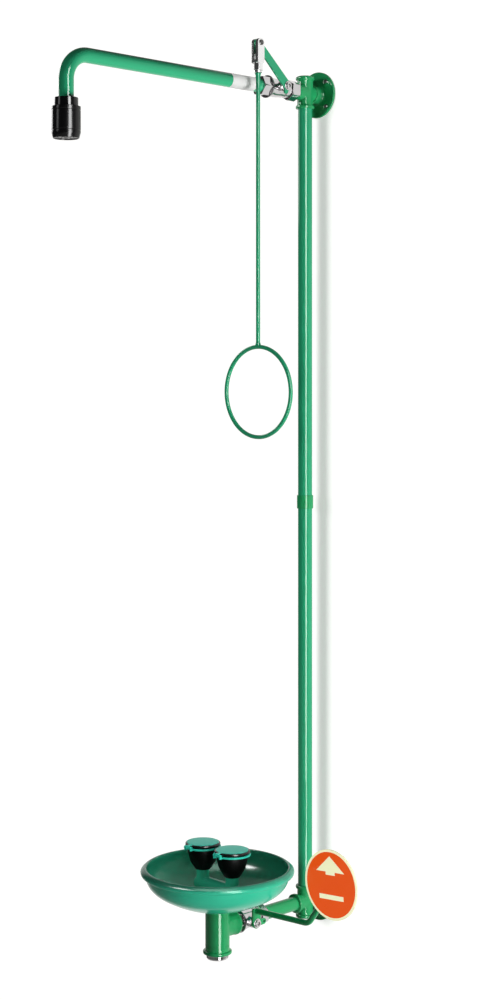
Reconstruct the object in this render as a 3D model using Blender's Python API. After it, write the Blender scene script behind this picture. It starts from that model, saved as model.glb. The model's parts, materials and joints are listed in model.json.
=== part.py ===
"""Wall-mounted emergency body shower with an eye and face wash: pipework, two ball valves and their handles.

Millimetres below, metres in the scene. Origin: centre of the upper wall flange's back face.
+Y runs into the wall, +Z up. Most heights of the eyewash are given from its own pipe axis.
"""

import math

import bmesh
import bpy
from mathutils import Vector

MM = 0.001
CLEAR = 0.3

# How many flat sides stand for a circle.
SMALL_SIDES = 10
STEM_SIDES = 12
ROUND_SIDES = 16
BROAD_SIDES = 24
WIDE_SIDES = 30

# Pipework.
WALL_OFFSET = 38.0
AXIS_DROP = 1585.0
TUBE_R = 14.0
TUBE_BORE_R = 12.5
PIPE_R = 13.45
PIPE_BORE_R = 11.2
WATERWAY_R = 10.0

# Press crosses.
CROSS_R = 15.5
CROSS_REACH = 31.0
CROSS_BEAD_R = 17.5
CROSS_BEAD_LENGTH = 7.0
SOCKET_STOP = 13.0
REAR_SPIGOT_END = -30.0
COUPLING_Z = -802.0
COUPLING_R = 16.1
COUPLING_LENGTH = 26.0
PLUG_HEAD = 1.4

# Wall flanges and their screws.
FLANGE_R = 45.0
FLANGE_RIM = 7.0
FLANGE_DISH = 5.0
FLANGE_RIM_WIDTH = 4.0
FLANGE_BOSS_R = 17.2
FLANGE_BOSS_LENGTH = 20.0
SCREW_CIRCLE_R = 34.0
SCREW_R = 2.4
SCREW_HEAD_R = 4.2
SCREW_HEAD_DEPTH = 2.4

# Ball valves: stations along the pipe are measured from the stem axis, towards the front.
BOWL_AHEAD = 239.0
VALVE_TO_BOWL = 70.0
STEM_AHEAD_UPPER = 85.0
STEM_AHEAD_LOWER = BOWL_AHEAD - VALVE_TO_BOWL
BALL_R = 15.0
SEAT_R = 15.7
SEAT_BACK = 16.7
SEAT_TOUCH_R = 12.0
CHAMBER_R = SEAT_R + CLEAR
INSERT_R = 16.7
VALVE_HEX_R = 20.0
VALVE_BODY_R = 19.0
VALVE_SHOULDER_R = 21.5
VALVE_REAR = -33.0
STEM_R = 5.0
STEM_COLLAR_R = 7.0
STEM_COLLAR = (16.3, 19.5)
BOSS_R = 10.5
BOSS_END = 25.5
GLAND_HEX_R = 10.0
GLAND_END = 30.5
TANG_WIDTH = 5.0
TANG_DEPTH = 3.0
UPPER_REAR_FACE = CROSS_REACH + CLEAR - STEM_AHEAD_UPPER
UPPER_FRONT_FACE = 45.0
LOWER_REAR_FACE = -49.0
LOWER_FRONT_FACE = 25.0
SPIGOT_LENGTH = 15.0
PIPE_GRIP = 14.0

# Handles.
LEVER_INNER = GLAND_END + CLEAR
LEVER_THICK = 4.0
LEVER_OUTER = LEVER_INNER + LEVER_THICK
LEVER_MID = LEVER_INNER + LEVER_THICK / 2
LEVER_WIDTH = 15.0
LEVER_LENGTH = 106.8
LEVER_TILT = math.radians(42)
NUT_HEX_R = 7.5
NUT_THICK = 4.5
FORK_HALF = 8.6
FORK_SLOT_FOOT = -32.0
FORK_SHOULDER = -39.0
FORK_FOOT = -52.0
FORK_NECK_R = 8.5
PIN_R = 4.0
LOCK_NUT_THICK = 4.0
ROD_R = 4.0
RING_R = 85.0
RING_DROP = -657.5
PUSH_ROD_R = 5.5
PUSH_BEND = (167.0, 29.0)
PUSH_ROD_START_Z = 23.0
PUSH_PLATE_AT = (230.0, 114.0)
PUSH_PLATE_R = 63.0
PUSH_PLATE_THICK = 3.0
PUSH_HUB_HALF = 11.0
PUSH_TAB_BACK = 19.0
PUSH_TAB_R = 5.4

# Shower arm and head; heights are below the arm's axis.
ARM_REACH = 600.0
ARM_BEND_R = 47.0
COLLAR_TOP = -79.0
COLLAR_FOOT = -94.0
COLLAR_R = 21.0
COLLAR_SPIGOT_R = 15.0
HEAD_R = 25.4
HEAD_FOOT = -149.0
HEAD_CHAMFER = 11.0
HEAD_FOOT_R = 22.6
HEAD_CAVITY_R = 20.0
SPRAY_HOLES = 10

# Drain body and bowl; heights are from the eyewash pipe axis.
DRAIN_R = 22.2
DRAIN_BORE_R = 18.5
DRAIN_TOP = 36.0
DRAIN_BEAD_R = 26.5
DRAIN_BEAD = (-47.0, -41.5)
DRAIN_BRANCH_R = 21.5
OUTLET_R = 21.0
OUTLET_BORE_R = 18.0
OUTLET_FOOT = -56.5
SUPPLY_R = 10.0
SUPPLY_BORE_R = 7.5
SUPPLY_BEND_R = 14.0
GASKET_THICK = 2.0
BOWL_WALL = 3.0
BOWL_FOOT = DRAIN_TOP + GASKET_THICK + 2 * CLEAR
BOWL_HOLE_R = 19.0
BOWL_PROFILE = ((42, 0), (62, 3.5), (82, 10.8), (100, 19.6), (115, 28.8), (126, 39.5), (132, 50), (135, 61))
BOWL_LIP_R = 143.5
BOWL_LIP_Z = 106.0
BOWL_RIM = 114.0
STRAINER_R = 30.0
STRAINER_THICK = 3.0
STRAINER_HOLES = 8

# Eyewash head.
MANIFOLD_Z = 76.0
MANIFOLD_R = 13.0
MANIFOLD_BORE_R = 7.5
CUP_HALF_SPACING = 39.35
NECK_R = 12.3
NECK_TOP = 108.0
JET_R = 2.5
CUP_FOOT = 103.0
CUP_FOOT_R = 14.4
CUP_RIM = 147.2
CUP_R = 29.3
CUP_WALL = 2.5
CUP_RING_R = 34.2
CUP_RING_Z = (142.0, 146.8)
HINGE_AHEAD = 38.0
HINGE_Z = 148.5
KNUCKLE_R = 3.0
KNUCKLE_WIDTH = 4.0
TONGUE_HALF = 5.0
TRUNNION_R = 1.5
GASKET_R = 32.5
GASKET_FOOT = CUP_RIM + CLEAR
GASKET_TOP = 151.7
LID_R = 29.5
LID_EDGE_TOP = 153.2
LID_TOP = 154.0

EYE_Z = -AXIS_DROP
RIGHT = (1, 0, 0)
FRONT = (0, -1, 0)
UP = (0, 0, 1)


def ahead(distance, z=0.0, x=0.0):
    """Point this far in front of the riser's axis."""
    return Vector((x, -WALL_OFFSET - distance, z))


def finish(name, colour, roughness, metallic=0.0):
    made = bpy.data.materials.new(name)
    made.use_nodes = True
    shader = made.node_tree.nodes["Principled BSDF"]
    shader.inputs["Base Color"].default_value = (*colour, 1)
    shader.inputs["Roughness"].default_value = roughness
    shader.inputs["Metallic"].default_value = metallic
    return made


def cross_directions(axis):
    axis = Vector(axis).normalized()
    side = Vector(UP) if abs(axis.z) < 0.5 else Vector(RIGHT)
    return axis, side, axis.cross(side)


def skin(shape, rings, closed):
    """Faces between neighbouring rings of points; a ring of one point is a tip."""
    pairs = list(zip(rings, rings[1:]))
    if closed:
        pairs.append((rings[-1], rings[0]))
    for low, high in pairs:
        count = max(len(low), len(high))
        for i in range(count):
            j = (i + 1) % count
            corners = [low[i % len(low)], low[j % len(low)], high[j % len(high)], high[i % len(high)]]
            shape.faces.new(list(dict.fromkeys(corners)))
    bmesh.ops.recalc_face_normals(shape, faces=shape.faces)
    return shape


def turned(profile, axis, at=(0, 0, 0), sides=ROUND_SIDES, turn=0.0):
    """Profile of (radius, height) swung about an axis. One that keeps off the axis is a closed loop."""
    axis, side, other = cross_directions(axis)
    shape = bmesh.new()
    rings = []
    for radius, height in profile:
        middle = Vector(at) + axis * height
        angles = [turn + 2 * math.pi * i / sides for i in range(sides)] if radius else [0]
        rings.append(
            [shape.verts.new(middle + (side * math.cos(a) + other * math.sin(a)) * radius) for a in angles]
        )
    return skin(shape, rings, closed=profile[0][0] > 0)


def rod(radius, low, high, axis, at=(0, 0, 0), sides=ROUND_SIDES, turn=0.0):
    return turned([(0, low), (radius, low), (radius, high), (0, high)], axis, at, sides, turn)


def tube(radius, bore, low, high, axis, at=(0, 0, 0), sides=ROUND_SIDES):
    return turned([(bore, low), (radius, low), (radius, high), (bore, high)], axis, at, sides)


def box(low, high):
    shape = bmesh.new()
    middle = (Vector(low) + Vector(high)) / 2
    made = bmesh.ops.create_cube(shape, size=1)
    for vert in made["verts"]:
        vert.co = middle + Vector(c * (h - l) for c, h, l in zip(vert.co, high, low))
    return shape


def plate(outline, low, high):
    """Outline of (ahead, z) points about the riser, given thickness along X."""
    shape = bmesh.new()
    rings = [[shape.verts.new(ahead(m, z, x)) for m, z in outline] for x in (low, high)]
    shape.faces.new(rings[0])
    shape.faces.new(rings[1])
    return skin(shape, rings, closed=False)


def arc(centre, radius, start, stop, steps=8):
    angles = [math.radians(start + (stop - start) * i / steps) for i in range(steps + 1)]
    return [(centre[0] + radius * math.cos(a), centre[1] + radius * math.sin(a)) for a in angles]


def bent(points, radius, steps=7):
    """The three points of a path with the middle one rounded off."""
    first, corner, last = (Vector(p) for p in points)
    back, on = (first - corner).normalized(), (last - corner).normalized()
    half = back.angle(on) / 2
    centre = corner + (back + on).normalized() * radius / math.sin(half)
    start = corner + back * radius / math.tan(half)
    stop = corner + on * radius / math.tan(half)
    swing = [(start - centre).slerp(stop - centre, i / steps).normalized() for i in range(steps + 1)]
    middle = [centre + direction * radius for direction in swing]
    return [first, *middle, last]


def swept(path, radius, bore, normal, sides=ROUND_SIDES):
    """Round bar or tube along a flat path; normal is the direction square to that path."""
    shape = bmesh.new()
    normal = Vector(normal)
    angles = [2 * math.pi * k / sides for k in range(sides)]

    def run(size):
        rings = []
        for i, point in enumerate(path):
            along = (path[min(i + 1, len(path) - 1)] - path[max(i - 1, 0)]).normalized()
            other = along.cross(normal)
            spread = [point + (normal * math.cos(a) + other * math.sin(a)) * size for a in angles]
            rings.append([shape.verts.new(co) for co in spread])
        return rings

    if bore:
        return skin(shape, run(radius) + run(bore)[::-1], closed=True)
    tips = [[shape.verts.new(path[i])] for i in (0, -1)]
    return skin(shape, [tips[0], *run(radius), tips[1]], closed=False)


def piece(name, shape, material, origin=(0, 0, 0)):
    """Object made of a shape in millimetres, with its origin where the piece turns or is fixed."""
    origin = Vector(origin)
    for vert in shape.verts:
        vert.co = (vert.co - origin) * MM
    for face in shape.faces:
        face.smooth = True
    mesh = bpy.data.meshes.new(name)
    shape.to_mesh(mesh)
    shape.free()
    made = bpy.data.objects.new(name, mesh)
    made.location = origin * MM
    made.data.materials.append(material)
    bpy.context.collection.objects.link(made)
    return made


def work(target, operation, *shapes):
    """Joins shapes to a piece or cuts them from it."""
    for shape in shapes:
        tool = piece(f"tool_{len(bpy.data.objects)}", shape, target.data.materials[0])
        tool.hide_render = True
        tool.display_type = "WIRE"
        step = target.modifiers.new(operation.lower(), "BOOLEAN")
        step.operation = operation
        step.solver = "EXACT"
        step.object = tool
    return target


def join(target, *shapes):
    return work(target, "UNION", *shapes)


def cut(target, *shapes):
    return work(target, "DIFFERENCE", *shapes)


for old in list(bpy.data.objects):
    bpy.data.objects.remove(old)

GREEN = finish("green_coat", (0.005, 0.155, 0.075), 0.22)
BOWL_GREEN = finish("green_plastic", (0.01, 0.20, 0.10), 0.38)
CHROME = finish("chrome", (0.80, 0.80, 0.80), 0.10, 1.0)
BLACK = finish("black_plastic", (0.012, 0.012, 0.013), 0.35)
RUBBER = finish("black_rubber", (0.012, 0.012, 0.012), 0.70)
SEAT_WHITE = finish("seat_plastic", (0.80, 0.80, 0.78), 0.45)
STEEL = finish("steel", (0.60, 0.60, 0.60), 0.30, 1.0)
ORANGE = finish("orange_plate", (0.80, 0.13, 0.02), 0.40)


def wall_flange(level, z):
    at = Vector((0, 0, z))
    rim = FLANGE_R - FLANGE_RIM_WIDTH
    profile = [
        (0, 0),
        (FLANGE_R, 0),
        (FLANGE_R, FLANGE_RIM - 1),
        (FLANGE_R - 1, FLANGE_RIM),
        (rim, FLANGE_RIM),
        (rim - 1.5, FLANGE_DISH),
        (FLANGE_BOSS_R + 3, FLANGE_DISH),
        (FLANGE_BOSS_R, FLANGE_DISH + 3),
        (FLANGE_BOSS_R, FLANGE_BOSS_LENGTH),
        (CROSS_R + CLEAR, FLANGE_BOSS_LENGTH),
        (CROSS_R + CLEAR, WALL_OFFSET + REAR_SPIGOT_END - CLEAR),
        (0, WALL_OFFSET + REAR_SPIGOT_END - CLEAR),
    ]
    flange = piece(f"{level}_wall_flange", turned(profile, FRONT, at, BROAD_SIDES), GREEN, at)
    for number in range(4):
        angle = math.radians(45 + 90 * number)
        centre = at + Vector((math.cos(angle), 0, math.sin(angle))) * SCREW_CIRCLE_R
        sink = FLANGE_DISH - SCREW_HEAD_DEPTH
        taper = 0.5 * (SCREW_HEAD_R - SCREW_R) / SCREW_HEAD_DEPTH
        hole = [
            (0, -1),
            (SCREW_R + CLEAR, -1),
            (SCREW_R + CLEAR, sink),
            (SCREW_HEAD_R + CLEAR + taper, FLANGE_DISH + 0.5),
            (0, FLANGE_DISH + 0.5),
        ]
        cut(flange, turned(hole, FRONT, centre, SMALL_SIDES))
        screw = [
            (0, CLEAR),
            (SCREW_R, CLEAR),
            (SCREW_R, sink + CLEAR),
            (SCREW_HEAD_R, FLANGE_DISH + CLEAR),
            (0, FLANGE_DISH + CLEAR),
        ]
        made = piece(f"{level}_screw_{number + 1}", turned(screw, FRONT, centre, SMALL_SIDES), STEEL, centre)
        cut(made, rod(1.6, FLANGE_DISH - 1.6, FLANGE_DISH + 1, FRONT, centre, 6))


def port(bead, low=0.0):
    """Outer profile of one arm of a cross, with or without the bead that holds its seal."""
    profile = [(0, low), (CROSS_R, low)]
    if bead:
        start = CROSS_REACH - CROSS_BEAD_LENGTH
        profile += [(CROSS_R, start), (CROSS_BEAD_R, start + 1.5), (CROSS_BEAD_R, CROSS_REACH - 1)]
        profile += [(CROSS_BEAD_R - 1, CROSS_REACH)]
    else:
        profile += [(CROSS_R, CROSS_REACH)]
    return profile + [(0, CROSS_REACH)]


def press_cross(level, z, front_r, front_bead):
    """Cross with a blind spigot to the wall and three open sockets."""
    at = ahead(0, z)
    upright = [(r, -h) for r, h in port(True)[1:][::-1]] + port(True)[2:]
    cross = piece(f"{level}_cross", turned(upright, UP, at), GREEN, at)
    join(cross, turned(port(front_bead, REAR_SPIGOT_END), FRONT, at))
    socket = TUBE_R + CLEAR
    bore = [(0, -CROSS_REACH - 1), (socket, -CROSS_REACH - 1), (socket, -SOCKET_STOP)]
    bore += [(TUBE_BORE_R, -SOCKET_STOP), (TUBE_BORE_R, SOCKET_STOP)]
    bore += [(socket, SOCKET_STOP), (socket, CROSS_REACH + 1), (0, CROSS_REACH + 1)]
    front = [(0, 0), (WATERWAY_R, 0), (WATERWAY_R, SOCKET_STOP + 1), (front_r + CLEAR, SOCKET_STOP + 1)]
    front += [(front_r + CLEAR, CROSS_REACH + 1), (0, CROSS_REACH + 1)]
    return cut(cross, turned(bore, UP, at), turned(front, FRONT, at))


def riser():
    at = ahead(0)
    gap = SOCKET_STOP + CLEAR
    stop = 0.5 + CLEAR
    upper = tube(TUBE_R, TUBE_BORE_R, COUPLING_Z + stop, -gap, UP, at)
    lower = tube(TUBE_R, TUBE_BORE_R, EYE_Z + gap, COUPLING_Z - stop, UP, at)
    piece("riser_upper_tube", upper, GREEN, at)
    piece("riser_lower_tube", lower, GREEN, ahead(0, EYE_Z))
    half = COUPLING_LENGTH / 2
    sleeve = [
        (TUBE_R + CLEAR, -half),
        (COUPLING_R - 0.8, -half),
        (COUPLING_R, 0.8 - half),
        (COUPLING_R, half - 0.8),
        (COUPLING_R - 0.8, half),
        (TUBE_R + CLEAR, half),
        (TUBE_R + CLEAR, 0.5),
        (TUBE_BORE_R, 0.5),
        (TUBE_BORE_R, -0.5),
        (TUBE_R + CLEAR, -0.5),
    ]
    middle = ahead(0, COUPLING_Z)
    piece("riser_coupling", turned(sleeve, UP, middle), GREEN, middle)
    plug = [
        (0, SOCKET_STOP + CLEAR),
        (TUBE_R, SOCKET_STOP + CLEAR),
        (TUBE_R, CROSS_REACH + CLEAR),
        (CROSS_R, CROSS_REACH + CLEAR),
        (CROSS_R, CROSS_REACH + PLUG_HEAD - 0.6),
        (CROSS_R - 0.6, CROSS_REACH + PLUG_HEAD),
        (0, CROSS_REACH + PLUG_HEAD),
    ]
    cap = piece("top_plug", turned(plug, UP, at), GREEN, at)
    cut(cap, rod(6, CROSS_REACH - 6, CROSS_REACH + 9, UP, at, 6))


def seat(side):
    """Seat ring whose coned face just clears the ball; side is +1 in front of it, -1 behind."""
    depth = math.sqrt(BALL_R**2 - SEAT_TOUCH_R**2)

    def face(radius):
        return (BALL_R * (BALL_R + CLEAR) - SEAT_TOUCH_R * radius) / depth

    inner, outer = WATERWAY_R + 0.5, SEAT_TOUCH_R + 2
    profile = [(inner, face(inner)), (outer, face(outer)), (SEAT_R, face(outer))]
    profile += [(SEAT_R, SEAT_BACK), (inner, SEAT_BACK)]
    return [(r, side * h) for r, h in profile]


def valve_body(unit, at, front_face, front_r, is_socket):
    """Body with the ball chamber, open to the rear for the insert and to the side for the stem."""
    back = SEAT_BACK + CLEAR
    hex_start = max(back, front_face - 20)
    outer = [
        (0, VALVE_REAR),
        (VALVE_BODY_R - 1, VALVE_REAR),
        (VALVE_BODY_R, VALVE_REAR + 3),
        (VALVE_BODY_R, 3),
        (VALVE_SHOULDER_R, hex_start - 3),
        (VALVE_SHOULDER_R, hex_start),
        (VALVE_HEX_R - 2, hex_start),
        (VALVE_HEX_R - 2, front_face - 2),
        (0, front_face - 2),
    ]
    body = piece(f"{unit}_valve_body", turned(outer, FRONT, at), CHROME, at)
    join(body, rod(VALVE_HEX_R, hex_start, front_face, FRONT, at, 6))
    join(body, rod(BOSS_R, 10, BOSS_END, RIGHT, at, STEM_SIDES))
    opening = INSERT_R + CLEAR
    bore = [(0, VALVE_REAR - 1), (opening, VALVE_REAR - 1), (opening, -SEAT_BACK - 0.1)]
    bore += [(CHAMBER_R, -SEAT_BACK - 0.1), (CHAMBER_R, back), (WATERWAY_R, back)]
    if is_socket:
        stop = front_face - PIPE_GRIP
        bore += [(WATERWAY_R, stop), (front_r + CLEAR, stop), (front_r + CLEAR, front_face + 1)]
    else:
        join(body, rod(front_r, front_face - 3, front_face + SPIGOT_LENGTH, FRONT, at))
        bore += [(WATERWAY_R, front_face + SPIGOT_LENGTH + 1)]
    cut(body, turned(bore + [(0, bore[-1][1])], FRONT, at))
    shaft = [(0, 0), (STEM_COLLAR_R + CLEAR, 0), (STEM_COLLAR_R + CLEAR, STEM_COLLAR[1] + CLEAR)]
    shaft += [(STEM_R + CLEAR, STEM_COLLAR[1] + CLEAR), (STEM_R + CLEAR, BOSS_END + 1), (0, BOSS_END + 1)]
    return cut(body, turned(shaft, RIGHT, at, STEM_SIDES))


def valve_end(unit, at, rear_face, rear_r, is_socket):
    """Hexagon insert that screws in behind the ball and takes the pipe."""
    head = rod(VALVE_HEX_R, rear_face, VALVE_REAR - CLEAR, FRONT, at, 6)
    end = piece(f"{unit}_valve_end", head, CHROME, at)
    join(end, rod(INSERT_R, VALVE_REAR - 2, -SEAT_BACK - CLEAR, FRONT, at))
    if is_socket:
        stop = rear_face + PIPE_GRIP
        bore = [(0, rear_face - 1), (rear_r + CLEAR, rear_face - 1), (rear_r + CLEAR, stop)]
        bore += [(WATERWAY_R, stop)]
    else:
        foot = rear_face - CROSS_REACH + SOCKET_STOP + 1
        join(end, rod(rear_r, foot, rear_face + 3, FRONT, at))
        bore = [(0, foot - 1), (WATERWAY_R, foot - 1)]
    bore += [(WATERWAY_R, 0), (0, 0)]
    return cut(end, turned(bore, FRONT, at))


def ball_valve(unit, at):
    """What both valves share: seats, ball, stem, gland nut and handle nut. The ball is drawn shut."""
    piece(f"{unit}_seat_front", turned(seat(1), FRONT, at), SEAT_WHITE, at)
    piece(f"{unit}_seat_rear", turned(seat(-1), FRONT, at), SEAT_WHITE, at)
    sphere = [(BALL_R * math.sin(math.pi * i / 10), -BALL_R * math.cos(math.pi * i / 10)) for i in range(11)]
    sphere[0], sphere[-1] = (0, -BALL_R), (0, BALL_R)
    ball = piece(f"{unit}_ball", turned(sphere, RIGHT, at, STEM_SIDES), STEEL, at)
    slot = TANG_WIDTH / 2 + CLEAR
    reach = Vector((BALL_R - TANG_DEPTH, -BALL_R - 1, -slot))
    cut(ball, rod(WATERWAY_R, -BALL_R - 1, BALL_R + 1, UP, at, STEM_SIDES))
    cut(ball, box(at + reach, at + Vector((BALL_R + 1, BALL_R + 1, slot))))
    shaft = [
        (0, STEM_COLLAR[0]),
        (STEM_COLLAR_R, STEM_COLLAR[0]),
        (STEM_COLLAR_R, STEM_COLLAR[1]),
        (STEM_R, STEM_COLLAR[1]),
        (STEM_R, LEVER_OUTER + NUT_THICK + 2),
        (0, LEVER_OUTER + NUT_THICK + 2),
    ]
    stem = piece(f"{unit}_stem", turned(shaft, RIGHT, at, STEM_SIDES), STEEL, at)
    tang = Vector((BALL_R - TANG_DEPTH + CLEAR, -STEM_R, -TANG_WIDTH / 2))
    join(stem, box(at + tang, at + Vector((STEM_COLLAR[0] + 1, STEM_R, TANG_WIDTH / 2))))
    hexagon = rod(GLAND_HEX_R, BOSS_END + CLEAR, GLAND_END, RIGHT, at, 6)
    gland = piece(f"{unit}_gland_nut", hexagon, CHROME, at)
    cut(gland, rod(STEM_R + CLEAR, 0, LEVER_OUTER, RIGHT, at, STEM_SIDES))


def lever_nut(name, at):
    low = LEVER_OUTER + CLEAR
    nut = piece(name, rod(NUT_HEX_R, low, low + NUT_THICK, RIGHT, at, 6), CHROME, at)
    cut(nut, rod(STEM_R + CLEAR, low - 1, low + NUT_THICK + 1, RIGHT, at, STEM_SIDES))


def shower_valve():
    at = ahead(STEM_AHEAD_UPPER)
    valve_body("shower", at, UPPER_FRONT_FACE, PIPE_R, True)
    valve_end("shower", at, UPPER_REAR_FACE, TUBE_R, False)
    ball_valve("shower", at)
    half, length = LEVER_WIDTH / 2, LEVER_LENGTH
    outline = arc((0, 0), half + 2, 90, 270) + arc((length, 0), half, -90, 90)
    level, rise = math.cos(LEVER_TILT), math.sin(LEVER_TILT)
    turned_up = [(STEM_AHEAD_UPPER + m * level - z * rise, m * rise + z * level) for m, z in outline]
    lever = piece("shower_lever", plate(turned_up, LEVER_INNER, LEVER_OUTER), GREEN, at)
    pivot = pin_at()
    cut(lever, rod(STEM_R + CLEAR, 0, LEVER_OUTER + 9, RIGHT, at, STEM_SIDES))
    cut(lever, rod(PIN_R + CLEAR, 0, LEVER_OUTER + 9, RIGHT, Vector((0, pivot.y, pivot.z)), SMALL_SIDES))
    lever_nut("shower_lever_nut", at)


def pin_at():
    level, rise = math.cos(LEVER_TILT), math.sin(LEVER_TILT)
    return ahead(STEM_AHEAD_UPPER + LEVER_LENGTH * level, LEVER_LENGTH * rise, LEVER_MID)


def pull_gear():
    """Fork, pin, lock nut, and the rod with its ring, hung from the lever's end."""
    pin = pin_at()
    middle = (-pin.y - WALL_OFFSET, pin.z)
    low = pin.z + FORK_SHOULDER
    outline = [(middle[0] - FORK_HALF, low), (middle[0] + FORK_HALF, low), *arc(middle, FORK_HALF, 0, 180)]
    fork = piece("clevis_fork", plate(outline, LEVER_MID - FORK_HALF, LEVER_MID + FORK_HALF), CHROME, pin)
    join(fork, rod(FORK_NECK_R, FORK_FOOT, FORK_SHOULDER + 2, UP, pin, 6))
    gap = LEVER_THICK / 2 + CLEAR
    low = Vector((-gap, -FORK_HALF - 1, FORK_SLOT_FOOT))
    cut(fork, box(pin + low, pin + Vector((gap, FORK_HALF + 1, FORK_HALF + 1))))
    cut(fork, rod(PIN_R + CLEAR, -FORK_HALF - 1, FORK_HALF + 1, RIGHT, pin, SMALL_SIDES))
    cut(fork, rod(ROD_R + CLEAR, FORK_FOOT - 1, FORK_SLOT_FOOT - 2, UP, pin, SMALL_SIDES))
    head = FORK_HALF + CLEAR
    bolt = [
        (0, -head - 2.5),
        (PIN_R, -head - 2.5),
        (PIN_R, head),
        (PIN_R + 2, head),
        (PIN_R + 2, head + 2),
        (0, head + 2),
    ]
    piece("clevis_pin", turned(bolt, RIGHT, pin, SMALL_SIDES), STEEL, pin)
    low, high = FORK_FOOT - CLEAR - LOCK_NUT_THICK, FORK_FOOT - CLEAR
    nut = piece("fork_lock_nut", rod(NUT_HEX_R, low, high, UP, pin, 6), CHROME, pin)
    cut(nut, rod(ROD_R + CLEAR, low - 1, high + 1, UP, pin, SMALL_SIDES))
    shaft = [
        (0, RING_DROP + RING_R),
        (ROD_R, RING_DROP + RING_R),
        (ROD_R, low - 8),
        (ROD_R + 2, low - 1),
        (ROD_R, low - 1),
        (ROD_R, FORK_SLOT_FOOT - 3),
        (0, FORK_SLOT_FOOT - 3),
    ]
    pull = piece("pull_rod", turned(shaft, UP, pin, SMALL_SIDES), GREEN, pin)
    centre = pin + Vector((0, 0, RING_DROP))
    wire = [(RING_R + r, h) for r, h in arc((0, 0), ROD_R, 0, 360, 8)[:-1]]
    join(pull, turned(wire, FRONT, centre, 36))


def shower_arm_and_head():
    start = UPPER_FRONT_FACE - PIPE_GRIP + CLEAR + STEM_AHEAD_UPPER
    low = COLLAR_TOP - 12
    path = bent([ahead(start), ahead(ARM_REACH), ahead(ARM_REACH, low)], ARM_BEND_R)
    piece("shower_arm", swept(path, PIPE_R, PIPE_BORE_R, RIGHT), GREEN, path[0])
    at = ahead(ARM_REACH)
    stop = low - CLEAR
    spigot_foot = COLLAR_FOOT - 8
    collar = [
        (PIPE_R + CLEAR, COLLAR_TOP),
        (COLLAR_R - 1, COLLAR_TOP),
        (COLLAR_R, COLLAR_TOP - 1),
        (COLLAR_R, COLLAR_FOOT),
        (COLLAR_SPIGOT_R, COLLAR_FOOT),
        (COLLAR_SPIGOT_R, spigot_foot),
        (PIPE_BORE_R, spigot_foot),
        (PIPE_BORE_R, stop),
        (PIPE_R + CLEAR, stop),
    ]
    piece("head_collar", turned(collar, UP, at), BLACK, ahead(ARM_REACH, COLLAR_FOOT))
    top = COLLAR_FOOT - CLEAR
    ledge = HEAD_FOOT + 8
    shell = [
        (COLLAR_SPIGOT_R + CLEAR, top),
        (HEAD_R - 1.5, top),
        (HEAD_R, top - 1.5),
        (HEAD_R, HEAD_FOOT + HEAD_CHAMFER),
        (HEAD_FOOT_R, HEAD_FOOT),
        (HEAD_CAVITY_R + 0.8, HEAD_FOOT),
        (HEAD_CAVITY_R + 0.8, ledge),
        (HEAD_CAVITY_R, ledge),
        (HEAD_CAVITY_R, top - 3),
        (COLLAR_SPIGOT_R + CLEAR, top - 3),
    ]
    piece("head_shell", turned(shell, UP, at), BLACK, ahead(ARM_REACH, HEAD_FOOT))
    disc_top = spigot_foot - CLEAR
    disc = tube(HEAD_CAVITY_R - CLEAR, 5, disc_top - 4, disc_top, UP, at)
    piece("head_flow_disc", disc, BLACK, ahead(ARM_REACH, disc_top))
    spray = rod(HEAD_CAVITY_R + 0.8 - CLEAR, HEAD_FOOT + 1, ledge - CLEAR, UP, at)
    rose = piece("head_spray_plate", spray, BLACK, ahead(ARM_REACH, HEAD_FOOT))
    for number in range(SPRAY_HOLES):
        angle = 2 * math.pi * number / SPRAY_HOLES
        spot = at + Vector((math.cos(angle), math.sin(angle), 0)) * 14
        cut(rose, rod(2.2, HEAD_FOOT - 1, ledge + 1, UP, spot, 6))
    cut(rose, rod(4, HEAD_FOOT - 1, ledge + 1, UP, at, 12))


def eyewash_valve():
    at = ahead(STEM_AHEAD_LOWER, EYE_Z)
    valve_body("eyewash", at, LOWER_FRONT_FACE, TUBE_R, False)
    valve_end("eyewash", at, LOWER_REAR_FACE, PIPE_R, True)
    ball_valve("eyewash", at)
    stop = STEM_AHEAD_LOWER + LOWER_REAR_FACE + PIPE_GRIP - CLEAR
    feed = tube(PIPE_R, PIPE_BORE_R, SOCKET_STOP + 1 + CLEAR, stop, FRONT, ahead(0, EYE_Z))
    piece("eyewash_pipe", feed, GREEN, ahead(0, EYE_Z))
    lever_nut("push_lever_nut", at)


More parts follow.
